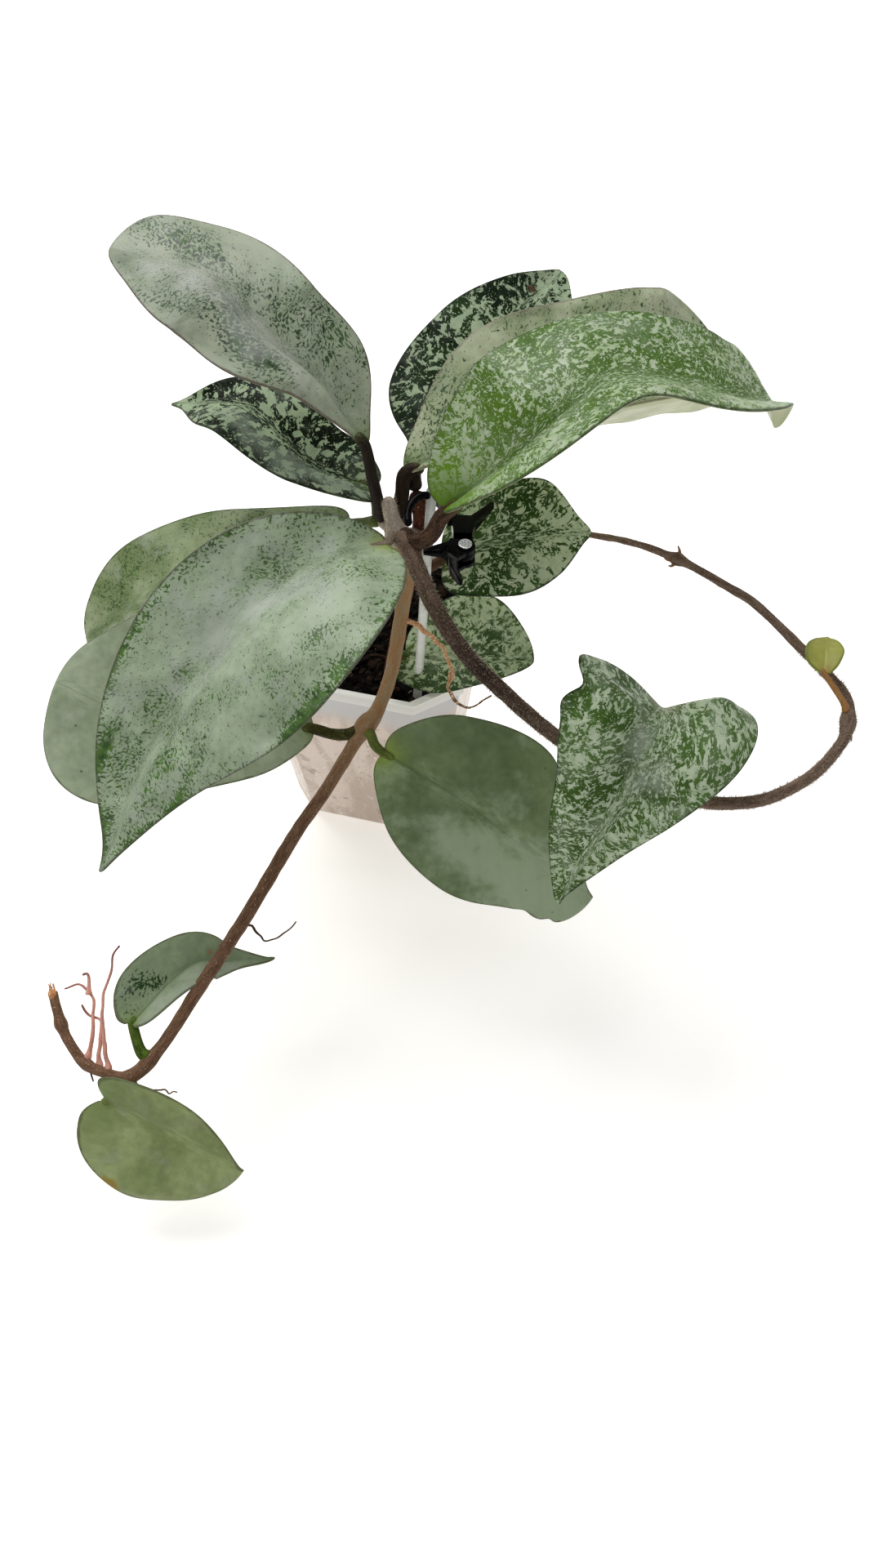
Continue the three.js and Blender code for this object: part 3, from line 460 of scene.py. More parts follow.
def plastic_skin(name, dark, light, rough, ior, clear=0.0, scratch=0.6, gloss=0.5):
    """Moulded or drawn plastic: one colour with faint cloudiness, and fine wear that dulls the shine. The
    size of the wear in mm, scratch, is coarser than real, so that it shows."""
    material, tree = surface(name)
    place = add(tree, "TexCoord", out="Object")
    wear = add(tree, "TexNoise", {"Vector": place, "Scale": 1 / (scratch * MM), "Detail": 4.0,
                                  "Distortion": 1.0})
    tone = add(tree, "MapRange", {0: wear, 1: 0.4, 2: 0.7}, **S_CURVE)
    tint = add(tree, "Mix", {"Factor": tone, "A": dark, "B": light}, **COLOURS)
    dull = add(tree, "MapRange", {0: wear, 1: 0.35, 2: 0.7, 3: rough, 4: rough + 0.14}, **S_CURVE)
    bump = add(tree, "Bump", {"Height": wear, "Strength": 0.3, "Distance": 0.02 * MM})
    return finish_surface(material, {"Base Color": tint, "Roughness": dull, "Normal": bump, "IOR": ior,
                                     "Transmission Weight": clear, "Specular IOR Level": gloss})


def metal_skin(name, dark, light, rough):
    """Drawn or turned steel, plated or blued: bright, with fine grain that dulls the shine. The grain is
    drawn at 0.25 mm, coarser than it is, so that it shows."""
    material, tree = surface(name)
    place = add(tree, "TexCoord", out="Object")
    grain = add(tree, "TexNoise", {"Vector": place, "Scale": 1 / (0.25 * MM), "Detail": 2.0})
    tone = add(tree, "MapRange", {0: grain, 1: 0.35, 2: 0.65}, **S_CURVE)
    tint = add(tree, "Mix", {"Factor": tone, "A": dark, "B": light}, **COLOURS)
    dull = add(tree, "MapRange", {0: grain, 1: 0.3, 2: 0.7, 3: rough, 4: rough + 0.15}, **S_CURVE)
    bump = add(tree, "Bump", {"Height": grain, "Strength": 0.5, "Distance": 0.03 * MM})
    return finish_surface(material, {"Base Color": tint, "Metallic": 1.0, "Roughness": dull, "Normal": bump})


# Leaves, in mm and degrees, close to the solids. face: which way the blade faces at base and tip; half:
# widths from the rib, evenly spaced in angle; lobe: how far each reaches back; fold and curl: from base to
# tip. In these four, the left side comes first, as seen from the base. wave: height and count.
LEAVES = {
    "leaf_01": dict(
        stalk=[[17, -36, 163.5], [17, -37, 168], [16, -39, 180], [14.5, -39, 190]],
        rib=[[14.5, -39, 190], [0.5, -34, 203.5], [-13.5, -32, 213], [-29.5, -25, 223], [-56.5, -24, 227.5]],
        face=[[0.1, -0.35, 0.9], [0.1, -0.35, 0.9]],
        half=[[2, 8, 16, 17, 7], [6, 17, 19, 17, 13]], lobe=[3, 1],
        fold=[[29, 1], [25, -2]], curl=[[-20, -12], [-20, -13]], wave=[1, 2]),
    "leaf_02": dict(
        stalk=[[16, -35, 163], [14.5, -32, 165.5], [12, -28.5, 168]],
        rib=[[12, -28.5, 168], [-8, -23.5, 168.5], [-31, -12.5, 177], [-56, -10, 172]],
        face=[[0, -0.2, 1], [0, -0.2, 1]],
        half=[[11, 13, 16, 15, 3], [6, 13, 13, 8, 2]], lobe=[18, 15],
        fold=[[46, 17], [33, 21]], curl=[[-26, -5], [-7, -9]], wave=[0.6, 2]),
    "leaf_04": dict(
        stalk=[[22.5, -43, 165.5], [22, -49, 166.5]],
        rib=[[22, -49, 166.5], [9, -64, 170.5], [-8, -84, 162], [-23.5, -109, 140.5], [-36.5, -138, 112]],
        face=[[-0.1, -0.45, 0.9], [-0.25, -0.75, 0.6]],
        half=[[15, 34, 34, 15, 4], [7, 20, 24, 17, 3]], lobe=[18, 14],
        fold=[[32, 17], [20, 9]], curl=[[-30, -47], [15, 5]], wave=[1.2, 2.5]),
    "leaf_05": dict(
        stalk=[[16, -35, 162.5], [10, -31, 157], [4, -28, 153]],
        rib=[[4, -28, 153], [-23, -37, 143.5], [-50, -40.5, 129], [-87, -44.5, 99]],
        face=[[-0.1, -0.3, 0.95], [-0.4, -0.4, 0.8]],
        half=[[7, 13, 17, 18, 13], [9, 16, 20, 21, 11]], lobe=[8, 10],
        fold=[[-5, -5], [-6, 11]], curl=[[-10, -10], [-6, 17]], wave=[1, 2]),
    "leaf_06": dict(
        stalk=[[15.8, -61.2, 100], [11, -63.2, 98.4], [6, -64, 98], [0, -65, 100]],
        rib=[[0, -65, 100], [-18.5, -75.5, 109], [-43, -89, 119.5], [-68, -89.5, 129.5]],
        face=[[0, -0.42, 0.9], [0.1, -0.5, 0.85]],
        half=[[7, 16, 21, 28, 19], [8, 19, 29, 35, 18]], lobe=[12, 10],
        fold=[[-2, -6], [9, 7]], curl=[[-16, 1], [-19, -5]], wave=[1, 2]),
    "leaf_07": dict(
        stalk=[[25.5, -30.5, 171], [24.5, -27, 174], [24, -22, 178]],
        rib=[[24, -22, 178], [31, -5.5, 184], [38, 21.5, 190.5], [49.5, 57, 192.5]],
        face=[[0.1, -0.5, 0.85], [0.2, -0.1, 0.95]],
        half=[[5, 19, 18, 11, 4], [10, 17, 20, 18, 7]], lobe=[21, 5],
        fold=[[12, 18], [15, -2]], curl=[[-28, 16], [-20, -22]], wave=[1, 2]),
    "leaf_08": dict(
        stalk=[[21.6, -39.5, 163.5], [22.3, -36.5, 167.5], [22.6, -33.5, 172], [23, -31, 177]],
        rib=[[23, -31, 177], [43.5, -23.5, 185], [74.5, -2.5, 183.5], [97.5, 19, 177.5], [110, 36.5, 174]],
        face=[[0.1, -0.4, 0.9], [0.2, -0.3, 0.9]],
        half=[[12, 30, 35, 36, 30], [4, 12, 18, 16, 9]], lobe=[2, 1],
        fold=[[17, 19], [50, 75]], curl=[[-5, 1], [10, 10]], wave=[0.8, 2]),
    "leaf_09": dict(
        stalk=[[23.8, -41.3, 164], [30, -46.3, 166.8], [34.2, -46.2, 170], [37.2, -44.5, 176]],
        rib=[[38.5, -46.5, 180], [56, -49, 198.5], [65, -49, 210], [78.5, -33, 218], [106, -20, 206],
             [119.5, -2.5, 198]],
        face=[[0, -0.6, 0.7], [0.4, -0.1, 0.9]],
        half=[[12, 26, 26, 23, 19], [6, 10, 14, 13, 8]], lobe=[16, 3],
        fold=[[36, -11, 9], [72, 57, 56]], curl=[[-17, -4], [-30, -28]], wave=[0.8, 2]),
    "leaf_10": dict(
        stalk=[[24.2, -29.2, 141], [28.5, -29, 142], [33, -26, 144]],
        rib=[[33, -26, 144], [50, -20, 149], [74.5, -11, 150.5]],
        face=[[0.1, -0.35, 0.9], [0.2, -0.4, 0.9]],
        half=[[9, 16, 19, 17, 5], [10, 15, 18, 13, 4]], lobe=[3, 10],
        fold=[[10, 8], [8, 10]], curl=[[-15, 0], [-27, 2]], wave=[0.8, 2]),
    "leaf_11": dict(
        stalk=[[16.5, -28.7, 100], [18, -26.5, 99], [19.5, -25, 98]],
        rib=[[19.5, -25, 99], [35, -26.5, 101], [62.5, -23, 104.5]],
        face=[[0.1, -0.75, 0.65], [0.2, -0.7, 0.7]],
        half=[[10, 18, 22, 20, 10], [9, 12, 9, 6, 3]], lobe=[4, 12],
        fold=[[8, 10], [4, 15]], curl=[[-15, -6], [-34, -2]], wave=[0.6, 2]),
    "leaf_12": dict(
        stalk=[[15.8, -61.2, 100], [18.4, -63, 100.6], [21, -66.5, 99.8], [24, -67.5, 98]],
        rib=[[24, -67.5, 98], [51, -77.5, 95.5], [70, -81, 84.5], [96, -83.5, 66]],
        face=[[0.1, -0.6, 0.8], [0.15, -0.65, 0.75]],
        half=[[11, 23, 28, 16, 3], [10, 22, 26, 18, 13]], lobe=[16, 10],
        fold=[[2, 8], [19, 12]], curl=[[-19, -8], [-34, -10]], wave=[0.8, 3]),
    "leaf_13": dict(
        stalk=[[100, -80, 123.5], [103.5, -77, 134], [105, -73, 142]],
        rib=[[105, -70, 144], [107, -81, 146.5], [102, -89.5, 134.5], [94.5, -96, 115], [87, -104.5, 92]],
        face=[[-0.1, 0, 1], [-0.1, -1, 0.4]],
        half=[[29, 20, 13, 6, 1], [25, 29, 20, 13, 5]], lobe=[18, 17],
        fold=[[22, 16], [45, 6]], curl=[[-76, -31], [-7, -37]], wave=[1, 2]),
    "leaf_14": dict(
        stalk=[[-24.4, -162.2, 49.3], [-27.5, -161.5, 50.5], [-30, -158.5, 53], [-32, -155, 55.5]],
        rib=[[-32, -156, 56], [-23.5, -131, 52], [-14.5, -123, 45], [-1.5, -116.5, 42]],
        face=[[0.1, -0.3, 0.9], [0.3, -0.3, 0.9]],
        half=[[6, 13, 11, 5, 1], [5, 7, 10, 4, 2]], lobe=[13, 5],
        fold=[[18, 24], [35, 36]], curl=[[-9, -15], [8, -2]], wave=[0.5, 2]),
    "leaf_03": dict(
        stalk=[[-28, -169, 46.5], [-29, -172, 43], [-32, -175, 41.5], [-34.5, -176.5, 43.5]],
        rib=[[-34.5, -176, 45], [-14, -177.5, 38.5], [9, -181, 26.5]],
        face=[[0.1, -0.6, 0.8], [0.2, -0.6, 0.8]],
        half=[[8.5, 11, 9, 5, 1], [10, 22, 25, 20, 11]], lobe=[11, 27],
        fold=[[60, 8], [12, -5]], curl=[[-64, -20], [-27, -6]], wave=[0.5, 2]),
    "new_leaf": dict(
        stalk=[[154.5, -52, 136.5], [153, -50.5, 139], [146, -48, 146]],
        rib=[[146, -48, 146], [145.5, -42.5, 148], [145.5, -35.5, 147.5]],
        face=[[0, -0.4, 0.9], [0.1, -0.5, 0.85]],
        half=[[3, 6, 6, 4, 1.5], [2, 4, 5, 4.4, 3]], lobe=[1, 2],
        fold=[[10, 0], [13, 1]], curl=[[30, 20], [30, 22]], wave=[0, 1]),
}

# Finishes shared by kinds of leaf. Sizes in mm; a mark shows where its noise passes blotch_at or fleck_at.
# soft: how gradual its edge is; stretch: how much longer than wide; jagged: how ragged; drift: how much the
# marks' density wanders; show: how strongly that tint shows; relax: share of the blade that creases even out
# over; bumps and groove: mm. The colours of ground, marks and under come in pairs that alternate.
# One pale grey, with how strongly it shows, is painted sheen laid over the skin in place of light glancing
# off the wax.
PALE_SILVER = dict(slot="leaf_silver", ground=("#95a28b", "#84947a"), marks=("#2f4426", "#4a6338"),
    blotch=2.6, fleck=0.68, blotch_at=0.78, fleck_at=0.655, soft=0.02, stretch=1.6, jagged=0.62, drift=0.4,
    vein="#7f9270", vein_show=0.0, rib_show=0.3, margin="#4a4a38", margin_show=0.8, margin_marks=0,
    margin_reach=1.6, stain="#5f4a52", dots=0.35, base="#6a7d45", base_reach=5, under=("#b4ba94", "#a3aa82"),
    rough=0.42, gloss=0.4, painted_sheen="#aeb1ac", painted_sheen_show=0.5, painted_sheen_spots=[], bumps=1.0, patches=[], stains=[],
    relax=0, notches=[], humps=[], groove=0.12, droop=(1, 0))
MOTTLED = dict(PALE_SILVER, slot="leaf_mottled", ground=("#172411", "#26391a"), marks=("#93a186", "#76876a"),
    blotch=2.1, fleck=0.65, groove=0.4, blotch_at=0.53, fleck_at=0.6, soft=0.012, drift=0.25, jagged=0.68,
    vein="#34472a", rib_show=0.6, margin="#1c2614", stain="#4a3a28", base="#5c6f35", gloss=0.12, dots=0.0,
    painted_sheen_show=0.3)
PLAIN = dict(PALE_SILVER, slot="leaf_plain", ground=("#768562", "#6a7a56"), marks=("#3f5228", "#54683a"),
    blotch=3, blotch_at=0.9, fleck_at=0.82, vein="#55663f", vein_show=0.05, rib_show=0.6, margin="#50553a",
    rough=0.45, bumps=0.8, stain="#3c4030", painted_sheen_show=0.35, gloss=0.3)

# What sets each leaf apart. patches: (share of length, side place -1 to 1, reach along, reach across, more
# marks); painted sheen spots and humps: the same with more sheen or mm raised; stains: (share of length,
# side place, radius); notches: (side, share of length, reach as share, mm pulled in); droop: (share of
# length, mm down).
LOOKS = {
    "leaf_01": dict(PALE_SILVER, ground=("#949c86", "#838f76"), marks=("#1f3418", "#3a542b"), fleck=0.6,
        fleck_at=0.645, painted_sheen_show=0.4, patches=[(0.53, -0.33, 17, 5.5, 0.17), (0.4, -0.35, 9, 5, 0.06),
            (0.42, 0.42, 14, 4.5, 0.14), (0.36, 0.8, 6, 3, 0.12), (0.84, 0.5, 12, 5.5, 0.15),
            (0.66, 0.23, 9, 4, 0.09), (0.8, -0.8, 9, 2, 0.15), (0.2, 0.9, 9, 2, 0.12),
            (0.5, -0.9, 60, 2, -0.05)], painted_sheen_spots=[(0.5, -0.1, 22, 5, 0.3), (0.8, -0.3, 12, 4, 0.2)],
        margin="#5a4a44"),
    "leaf_02": dict(MOTTLED, ground=("#071104", "#12200b"), marks=("#9dac8c", "#84967a"), blotch=2.3,
        jagged=0.54, blotch_at=0.54, fleck_at=0.6, painted_sheen_show=0.6, painted_sheen="#7f8a7c", stretch=1.15,
        painted_sheen_spots=[(0.5, -0.5, 26, 4, 0.3), (0.2, -0.5, 14, 4, 0.25)], patches=[(0.95, 0, 8, 6, 0.1)]),
    "leaf_04": dict(PALE_SILVER, ground=("#9aa98e", "#8a9a7e"), marks=("#34501f", "#4f7032"), bumps=1.5,
        rib_show=0.0, fleck_at=0.63, relax=0.1, margin_marks=0.12, margin_reach=2, fleck=0.6, groove=0.0,
        humps=[(0.3, -0.1, 14, 7, -1.2), (0.55, 0.35, 9, 8, 1.0), (0.6, -0.4, 10, 6, -0.9)],
        patches=[(0.6, 1.0, 20, 1.7, 0.16), (0.8, 0.99, 16, 1.8, 0.2), (0.92, 0.85, 8, 2.2, 0.18),
            (0.47, -0.98, 14, 2, 0.24), (0.31, -0.94, 6, 3, 0.2), (0.29, -0.63, 5, 3, 0.17),
            (0.78, -0.97, 20, 1.8, 0.2), (0.8, 0.6, 14, 5, 0.1), (0.85, -0.5, 16, 5, 0.1),
            (0.35, 0.9, 10, 3, 0.1), (0.24, 0.2, 12, 6, 0.08), (0.55, 0.2, 14, 6, 0.08),
            (0.68, -0.3, 8, 5, 0.08), (0.15, -0.3, 8, 6, 0.09)], painted_sheen_spots=[(0.4, 0.2, 20, 10, 0.2),
            (0.25, -0.2, 12, 8, 0.15)], base="#8a9a4a", dots=0.6),
    "leaf_05": dict(PALE_SILVER, slot="leaf_plain", ground=("#87946f", "#6b7c50"),
        marks=("#2f4718", "#446324"), fleck_at=0.6, patches=[(0.3, 0.6, 20, 6, 0.06)], margin="#2c3a1c"),
    "leaf_06": dict(PLAIN, ground=("#9ba78c", "#8d9a7e"), dots=0.7),
    "leaf_07": dict(MOTTLED, ground=("#0d1b08", "#1d3212"), marks=("#a2b190", "#889a80"), blotch=2.2,
        jagged=0.56, blotch_at=0.53, painted_sheen_show=0.15, stretch=1.25, stains=[(0.82, -0.3, 2.2)],
        patches=[(0.93, 0, 9, 9, 0.09)]),
    "leaf_08": dict(PALE_SILVER, ground=("#abb394", "#8d9a76"), fleck_at=0.62, margin="#6a5a50",
        painted_sheen_show=0.3, patches=[(0.1, -0.6, 14, 12, 0.08), (0.75, -0.8, 12, 5, 0.06)]),
    "leaf_09": dict(MOTTLED, slot="leaf_splashed", ground=("#43621a", "#4b682a"),
        marks=("#afbda0", "#93a67c"), blotch=1.5, fleck=0.55, blotch_at=0.54, fleck_at=0.58, drift=0.2,
        base="#5b7f10", base_reach=30, stretch=1.15, relax=0.095, droop=(0.94, 9), painted_sheen_show=0.3,
        painted_sheen="#9aa694", margin="#3c4a28", rib_show=0.0, rough=0.36, gloss=0.3, jagged=0.62,
        painted_sheen_spots=[(0.3, 0.75, 26, 4, 0.2), (0.6, -0.8, 20, 4, 0.2)], humps=[(0.3, -0.35, 16, 7, 1.2),
            (0.42, 0.25, 12, 6, -1.0)], patches=[(0.9, 0.8, 16, 4, 0.06), (0.12, -0.3, 14, 8, 0.04)]),
    "leaf_10": dict(MOTTLED, ground=("#2e4a1c", "#425f2e"), stretch=1.6, patches=[(0.85, 0, 10, 12, 0.07)],
        marks=("#cfdcbd", "#b0c09c"), blotch=2.0, jagged=0.58, blotch_at=0.535, fleck_at=0.585,
        painted_sheen_show=0.15),
    "leaf_11": dict(MOTTLED, ground=("#38502a", "#4a6238"), marks=("#bccaa9", "#9dae8b"), soft=0.02,
        stretch=1.3, blotch=1.8, blotch_at=0.5, painted_sheen_show=0.3),
    "leaf_12": dict(PLAIN, groove=0.3, notches=[(1, 0.8, 0.03, 0.9), (1, 0.9, 0.02, 1.2)],
        ground=("#667852", "#74865f"), base="#7f9440", base_reach=7, rib_show=0.5, dots=0.5, painted_sheen="#a6b698",
        painted_sheen_show=0.7, painted_sheen_spots=[(0.65, 0.5, 28, 12, 0.35), (0.9, 0.4, 20, 12, 0.3)]),
    "leaf_13": dict(MOTTLED, slot="leaf_splashed", ground=("#355018", "#4a6630"),
        marks=("#b7c5a8", "#94a686"), blotch=1.6, fleck=0.6, blotch_at=0.535, fleck_at=0.575, drift=0.2,
        stretch=1.45, relax=0.06, groove=0.0, jagged=0.62, notches=[(1, 0.215, 0.028, 2.4),
            (1, 0.14, 0.04, -1.2), (1, 0.285, 0.03, -1.2)], patches=[(0.15, -0.7, 14, 9, -0.02),
            (0.4, -0.7, 12, 8, -0.01), (0.25, 0.4, 10, 7, -0.02)], humps=[(0.24, 0.62, 9, 7, 3.2),
            (0.33, 0.18, 14, 5, -3.6), (0.15, -0.55, 8, 8, 2.8), (0.35, -0.3, 9, 6, -2.4),
            (0.55, 0.5, 12, 6, 2.2)], rib_show=0.0, painted_sheen_show=0.5, painted_sheen="#a9b2a2",
        painted_sheen_spots=[(0.2, 0.2, 10, 4, 0.25), (0.35, -0.1, 9, 6, 0.2), (0.15, -0.5, 8, 3, 0.15)], bumps=1.6,
        base="#8a8a70"),
    "leaf_14": dict(PLAIN, ground=("#859575", "#788869"), fleck_at=0.74, painted_sheen_spots=[(0.5, 0.6, 30, 5, 0.3)],
        patches=[(0.22, -0.6, 5, 3.5, 0.24), (0.27, -0.2, 4, 2.5, 0.26), (0.07, -0.4, 4, 2.5, 0.22)],
        marks=("#16300e", "#24421a"), stains=[(0.6, -0.33, 1.6)], stain="#8a7550"),
    "leaf_03": dict(PLAIN, relax=0.06, ground=("#8f9c68", "#7b8956"), stain="#8f7a34",
        stains=[(0.36, 1.0, 3.2)], dots=0.6, rib_show=0.12, vein_show=0.1, bumps=1.6),
    "new_leaf": dict(PLAIN, slot="leaf_new", ground=("#a8a85a", "#989b48"), marks=("#6f7a30", "#7f8a3a"),
        vein="#c0c27a", margin="#6c7a2c", base="#a08a48", under=("#9aa056", "#8b9148"), bumps=0.1, dots=0.0,
        base_reach=2.5),
}
# A blade's thickness in mm at the rib and near its margin, and how far in from the margin it rounds off.
BLADE_MIDDLE, BLADE_EDGE, EDGE_ROUND = 1.7, 0.8, 0.4
VEIN_LEAN = math.radians(48)
VEIN_SPACING, VEIN_REACH, RIB_REACH = 8.5, 1.1, 1.0
CROWDING = 0.126  # how strongly points crowd towards the rib and the margin
# Marks differ between the two sides of a rib and from leaf to leaf, because the pattern's third measure runs
# from one side to the other within RIB_BAND of the half width, and starts anew for each leaf.
RIB_BAND, SIDES_APART, LEAVES_APART = 0.16, 9, 40


def half_width(u, widths):
    """A cubic through the widths, evenly spaced in the angle that runs from 0 at the base to half a turn
    at the tip, with zero at both."""
    known = np.array([0, *widths, 0], float)
    place = np.arccos(1 - 2 * u) / math.pi * (len(known) - 1)
    i = np.minimum(place.astype(int), len(known) - 2)
    t = place - i
    around = np.concatenate([[-known[1]], known, [-known[-2]]])
    a, b, c, d = (around[i + n] for n in range(4))
    rise, fall, jump = 0.5 * (c - a), 0.5 * (d - b), c - b
    return b + t * (rise + t * (3 * jump - 2 * rise - fall + t * (rise + fall - 2 * jump)))


def through(values, u):
    """Evenly spaced values between base and tip, joined by S-curves, as radians from degrees."""
    v = np.radians(np.array(values, float))
    i = np.minimum((u * (len(v) - 1)).astype(int), len(v) - 2)
    return mix(v[i], v[i + 1], smooth(u * (len(v) - 1) - i))


def evened(grid, place, reach):
    """Takes creases out of a grid of points: each row becomes the mean of the rows near it, weighed by a
    bell curve of that reach and by their spacing. The first and last rows stay."""
    weight = np.exp(-(((place[:, None] - place) / reach) ** 2)) * np.gradient(place)
    even = np.einsum("ij,jkc->ikc", weight / weight.sum(1, keepdims=True), grid)
    inside = smooth(np.minimum(place, 1 - place) / (1.5 * reach))[:, None, None]
    return mix(grid, even, inside)


def blade(leaf, look, rows, columns, seed):
    """A leaf blade as a thin closed form. On each side of the rib the cross section is an arc that starts at
    the fold angle and turns through the curl angle; lobes reach back past the base and the edge waves. Soft
    bumps, the rib's valley on top, its ridge below and faint side veins are added along the normal, and the
    thickness rounds off to nothing at the margin. Points crowd towards both ends, the rib and the margin."""
    u = (1 - np.cos(np.linspace(0, math.pi, rows + 1))) / 2
    down = u[:, None]
    centre, along, length = route(leaf["rib"], u)
    start, drop = look["droop"]
    centre[:, 2] -= drop * np.clip((u - start) / max(1 - start, 0.01), 0, 1) ** 2
    facing = mix(*np.array(leaf["face"], float)[:, None], down)
    across = unit(np.cross(along, facing))
    up = np.cross(across, along)[:, None]
    centre, along, across = centre[:, None], along[:, None], across[:, None]
    v = np.linspace(-1, 1, 2 * columns + 1)
    s = np.sign(v) * (np.abs(v) - CROWDING * np.sin(2 * math.pi * np.abs(v)))
    right = s >= 0
    size, sign = np.abs(s), np.where(right, 1, -1)
    both = lambda pair: np.where(right, pair[1][:, None], pair[0][:, None])
    width = both([half_width(u, w) for w in leaf["half"]])
    outline = width / np.where(right, max(leaf["half"][1]), max(leaf["half"][0]))
    half = np.maximum(width, mix(1.5, 0.4, down))
    fold, curl = (both([through(angles, u) for angles in leaf[key]]) for key in ("fold", "curl"))
    curl = np.where(np.abs(curl) < 1e-6, 1e-6, curl)
    turn = fold + curl * size
    out_up = lambda out, rise: across * out[..., None] + up * rise[..., None]
    sideways = sign * half * (np.sin(turn) - np.sin(fold)) / curl
    arc = out_up(sideways, half * (np.cos(fold) - np.cos(turn)) / curl)
    back = np.where(right, leaf["lobe"][1], leaf["lobe"][0]) * outline * (1 - down) ** 4 * size**2
    height, count = leaf["wave"]
    wave = height * size**2 * outline * np.sin(2 * math.pi * (count * down + 0.37 * sign))
    square = out_up(-sign * np.sin(turn), np.cos(turn))
    middle = centre + arc - along * back[..., None] + square * wave[..., None]
    if look["relax"]:
        middle = evened(middle, u, look["relax"])
        middle = evened(middle.swapaxes(0, 1), (s + 1) / 2, look["relax"]).swapaxes(0, 1)
    outward = out_up(sign * np.cos(turn), np.sin(turn))
    for side, at, reach, pull in look["notches"]:
        amount = np.where(s * side > 0, pull, 0) * size**3 * np.exp(-(((down - at) / reach) ** 2))
        middle = middle - outward * amount[..., None]
    normal = np.cross(np.gradient(middle, axis=0), np.gradient(middle, axis=1))
    normal = unit(normal + 1e-9 * square)
    normal = normal * np.sign((normal * square).sum(-1, keepdims=True) + 1e-9)

    x = np.broadcast_to(down * length, half.shape)
    y = size * half
    from_margin = (1 - size) * half
    settle = smooth(from_margin / 3) * smooth(down * length / 6) * smooth((1 - down) * length / 8)
    vein_phase = (x - y / math.tan(VEIN_LEAN)) / VEIN_SPACING
    near_vein = np.abs(vein_phase - np.round(vein_phase)) * VEIN_SPACING
    veins = np.exp(-(near_vein / VEIN_REACH) ** 2) * smooth(y / 3) * settle

    def spots(places):
        """Bell curves in mm along and across, summed: (share of length, side place, reaches, height)."""
        total = np.zeros_like(x)
        for at, place, reach, wide, more in places:
            y_at = place * np.interp(at, u, half[:, -1 if place > 0 else 0])
            total += more * np.exp(-(((x - at * length) / reach) ** 2) - ((y * sign - y_at) / wide) ** 2)
        return total

    rise = look["bumps"] * (0.75 * lumps(middle, 13, seed) + 0.3 * lumps(middle, 5.5, seed + 5)) * settle
    middle = middle + normal * (rise + spots(look["humps"]))[..., None]
    fading = 1 - 0.85 * smooth(down / 0.8)
    valley = look["groove"] * np.exp(-(y / RIB_REACH) ** 2) * fading
    thin = np.clip(EDGE_ROUND / half, 0.02, 0.6)
    edge_round = np.sqrt(np.clip(1 - (np.clip(size - (1 - thin), 0, None) / thin) ** 2, 0, 1))
    thick = mix(BLADE_MIDDLE, BLADE_EDGE, np.minimum(1, 1.4 * size)) / 2 * edge_round
    ends = np.sqrt(np.clip(1 - (2 * down - 1) ** 40, 0, 1))
    above = thick * ends - valley * edge_round - 0.1 * veins
    below = -thick * ends - 1.2 * valley * edge_round - 0.08 * veins

    lean = (math.cos(VEIN_LEAN), math.sin(VEIN_LEAN))
    apart = np.clip(s / RIB_BAND, -1, 1) * SIDES_APART + 0 * x + LEAVES_APART * seed
    values = dict(
        vein=np.stack([x * lean[0] + y * lean[1], y * lean[0] - x * lean[1], apart], -1),
        cover=look["margin_marks"] * np.exp(-from_margin / look["margin_reach"]) + spots(look["patches"]),
        painted_sheen=spots(look["painted_sheen_spots"]),
        stain=spots([(at, place, radius, radius, 1) for at, place, radius in look["stains"]]),
        base=np.exp(-(x**2 + y**2) / look["base_reach"] ** 2),
        veins=veins * look["vein_show"], from_rib=y / fading, from_margin=from_margin)
    around = lambda top, under: np.concatenate([top, under[:, -2:0:-1]], 1)
    surfaces = around(middle + normal * above[..., None], middle + normal * below[..., None])
    return loft(surfaces, under=around(np.zeros_like(x), np.ones_like(x)),
                **{key: around(value, value) for key, value in values.items()})


# Stems
STEMS = {
    "main_stem": dict(
        points=[[13, -27, 60], [14, -28, 84], [18, -29, 110], [22.5, -29, 135], [25.5, -29.2, 152],
                [26.5, -29.8, 163], [26, -31, 171]],
        radii=[2.4, 1.9], swellings=[[0.97, 0.6, 3]]),
    "trailing_stem": dict(
        points=[[23.5, -43, 164], [24.5, -41.5, 158], [25.4, -40, 150], [24, -42.5, 135], [22.6, -50.5, 118],
                [19.4, -57.7, 106], [15, -62, 99], [7, -76, 85], [-0.5, -90, 75], [-9.5, -115.5, 62],
                [-17.5, -140.5, 54.5], [-22.5, -157.5, 50], [-28.6, -168.6, 48], [-37.8, -169.3, 48],
                [-44.8, -167.5, 48], [-51.3, -162.9, 50], [-55.3, -158.4, 53], [-60, -151.5, 57]],
        radii=[2.3, 1.4],
        swellings=[[0.287, 1.2, 4.6], [0.62, 0.42, 55], [0.805, 0.6, 4], [0.831, 0.5, 3], [0.955, 0.6, 2],
                   [0.893, 0.3, 2]]),
    "runner_stem": dict(
        points=[[24.3, -42.3, 164.3], [28, -47, 165], [37.5, -57, 155], [48.6, -64, 145], [62, -70, 138],
                [77, -74.5, 130], [92.5, -78.5, 125], [107, -81.3, 122], [122.5, -81, 122], [136, -78.3, 124],
                [147.5, -70.5, 128], [154.5, -60, 132], [155.5, -52.5, 135], [153, -46, 138], [142, -38, 142],
                [126, -27, 147], [116.5, -22, 148], [108.5, -18.5, 149], [100, -14.5, 149], [87, -8.5, 147],
                [74, -4.5, 144], [65, -2.3, 142]],
        radii=[2.5, 0.9], swellings=[[0.375, 0.7, 4], [0.608, 0.8, 3], [0.861, 0.9, 2.2]]),
}
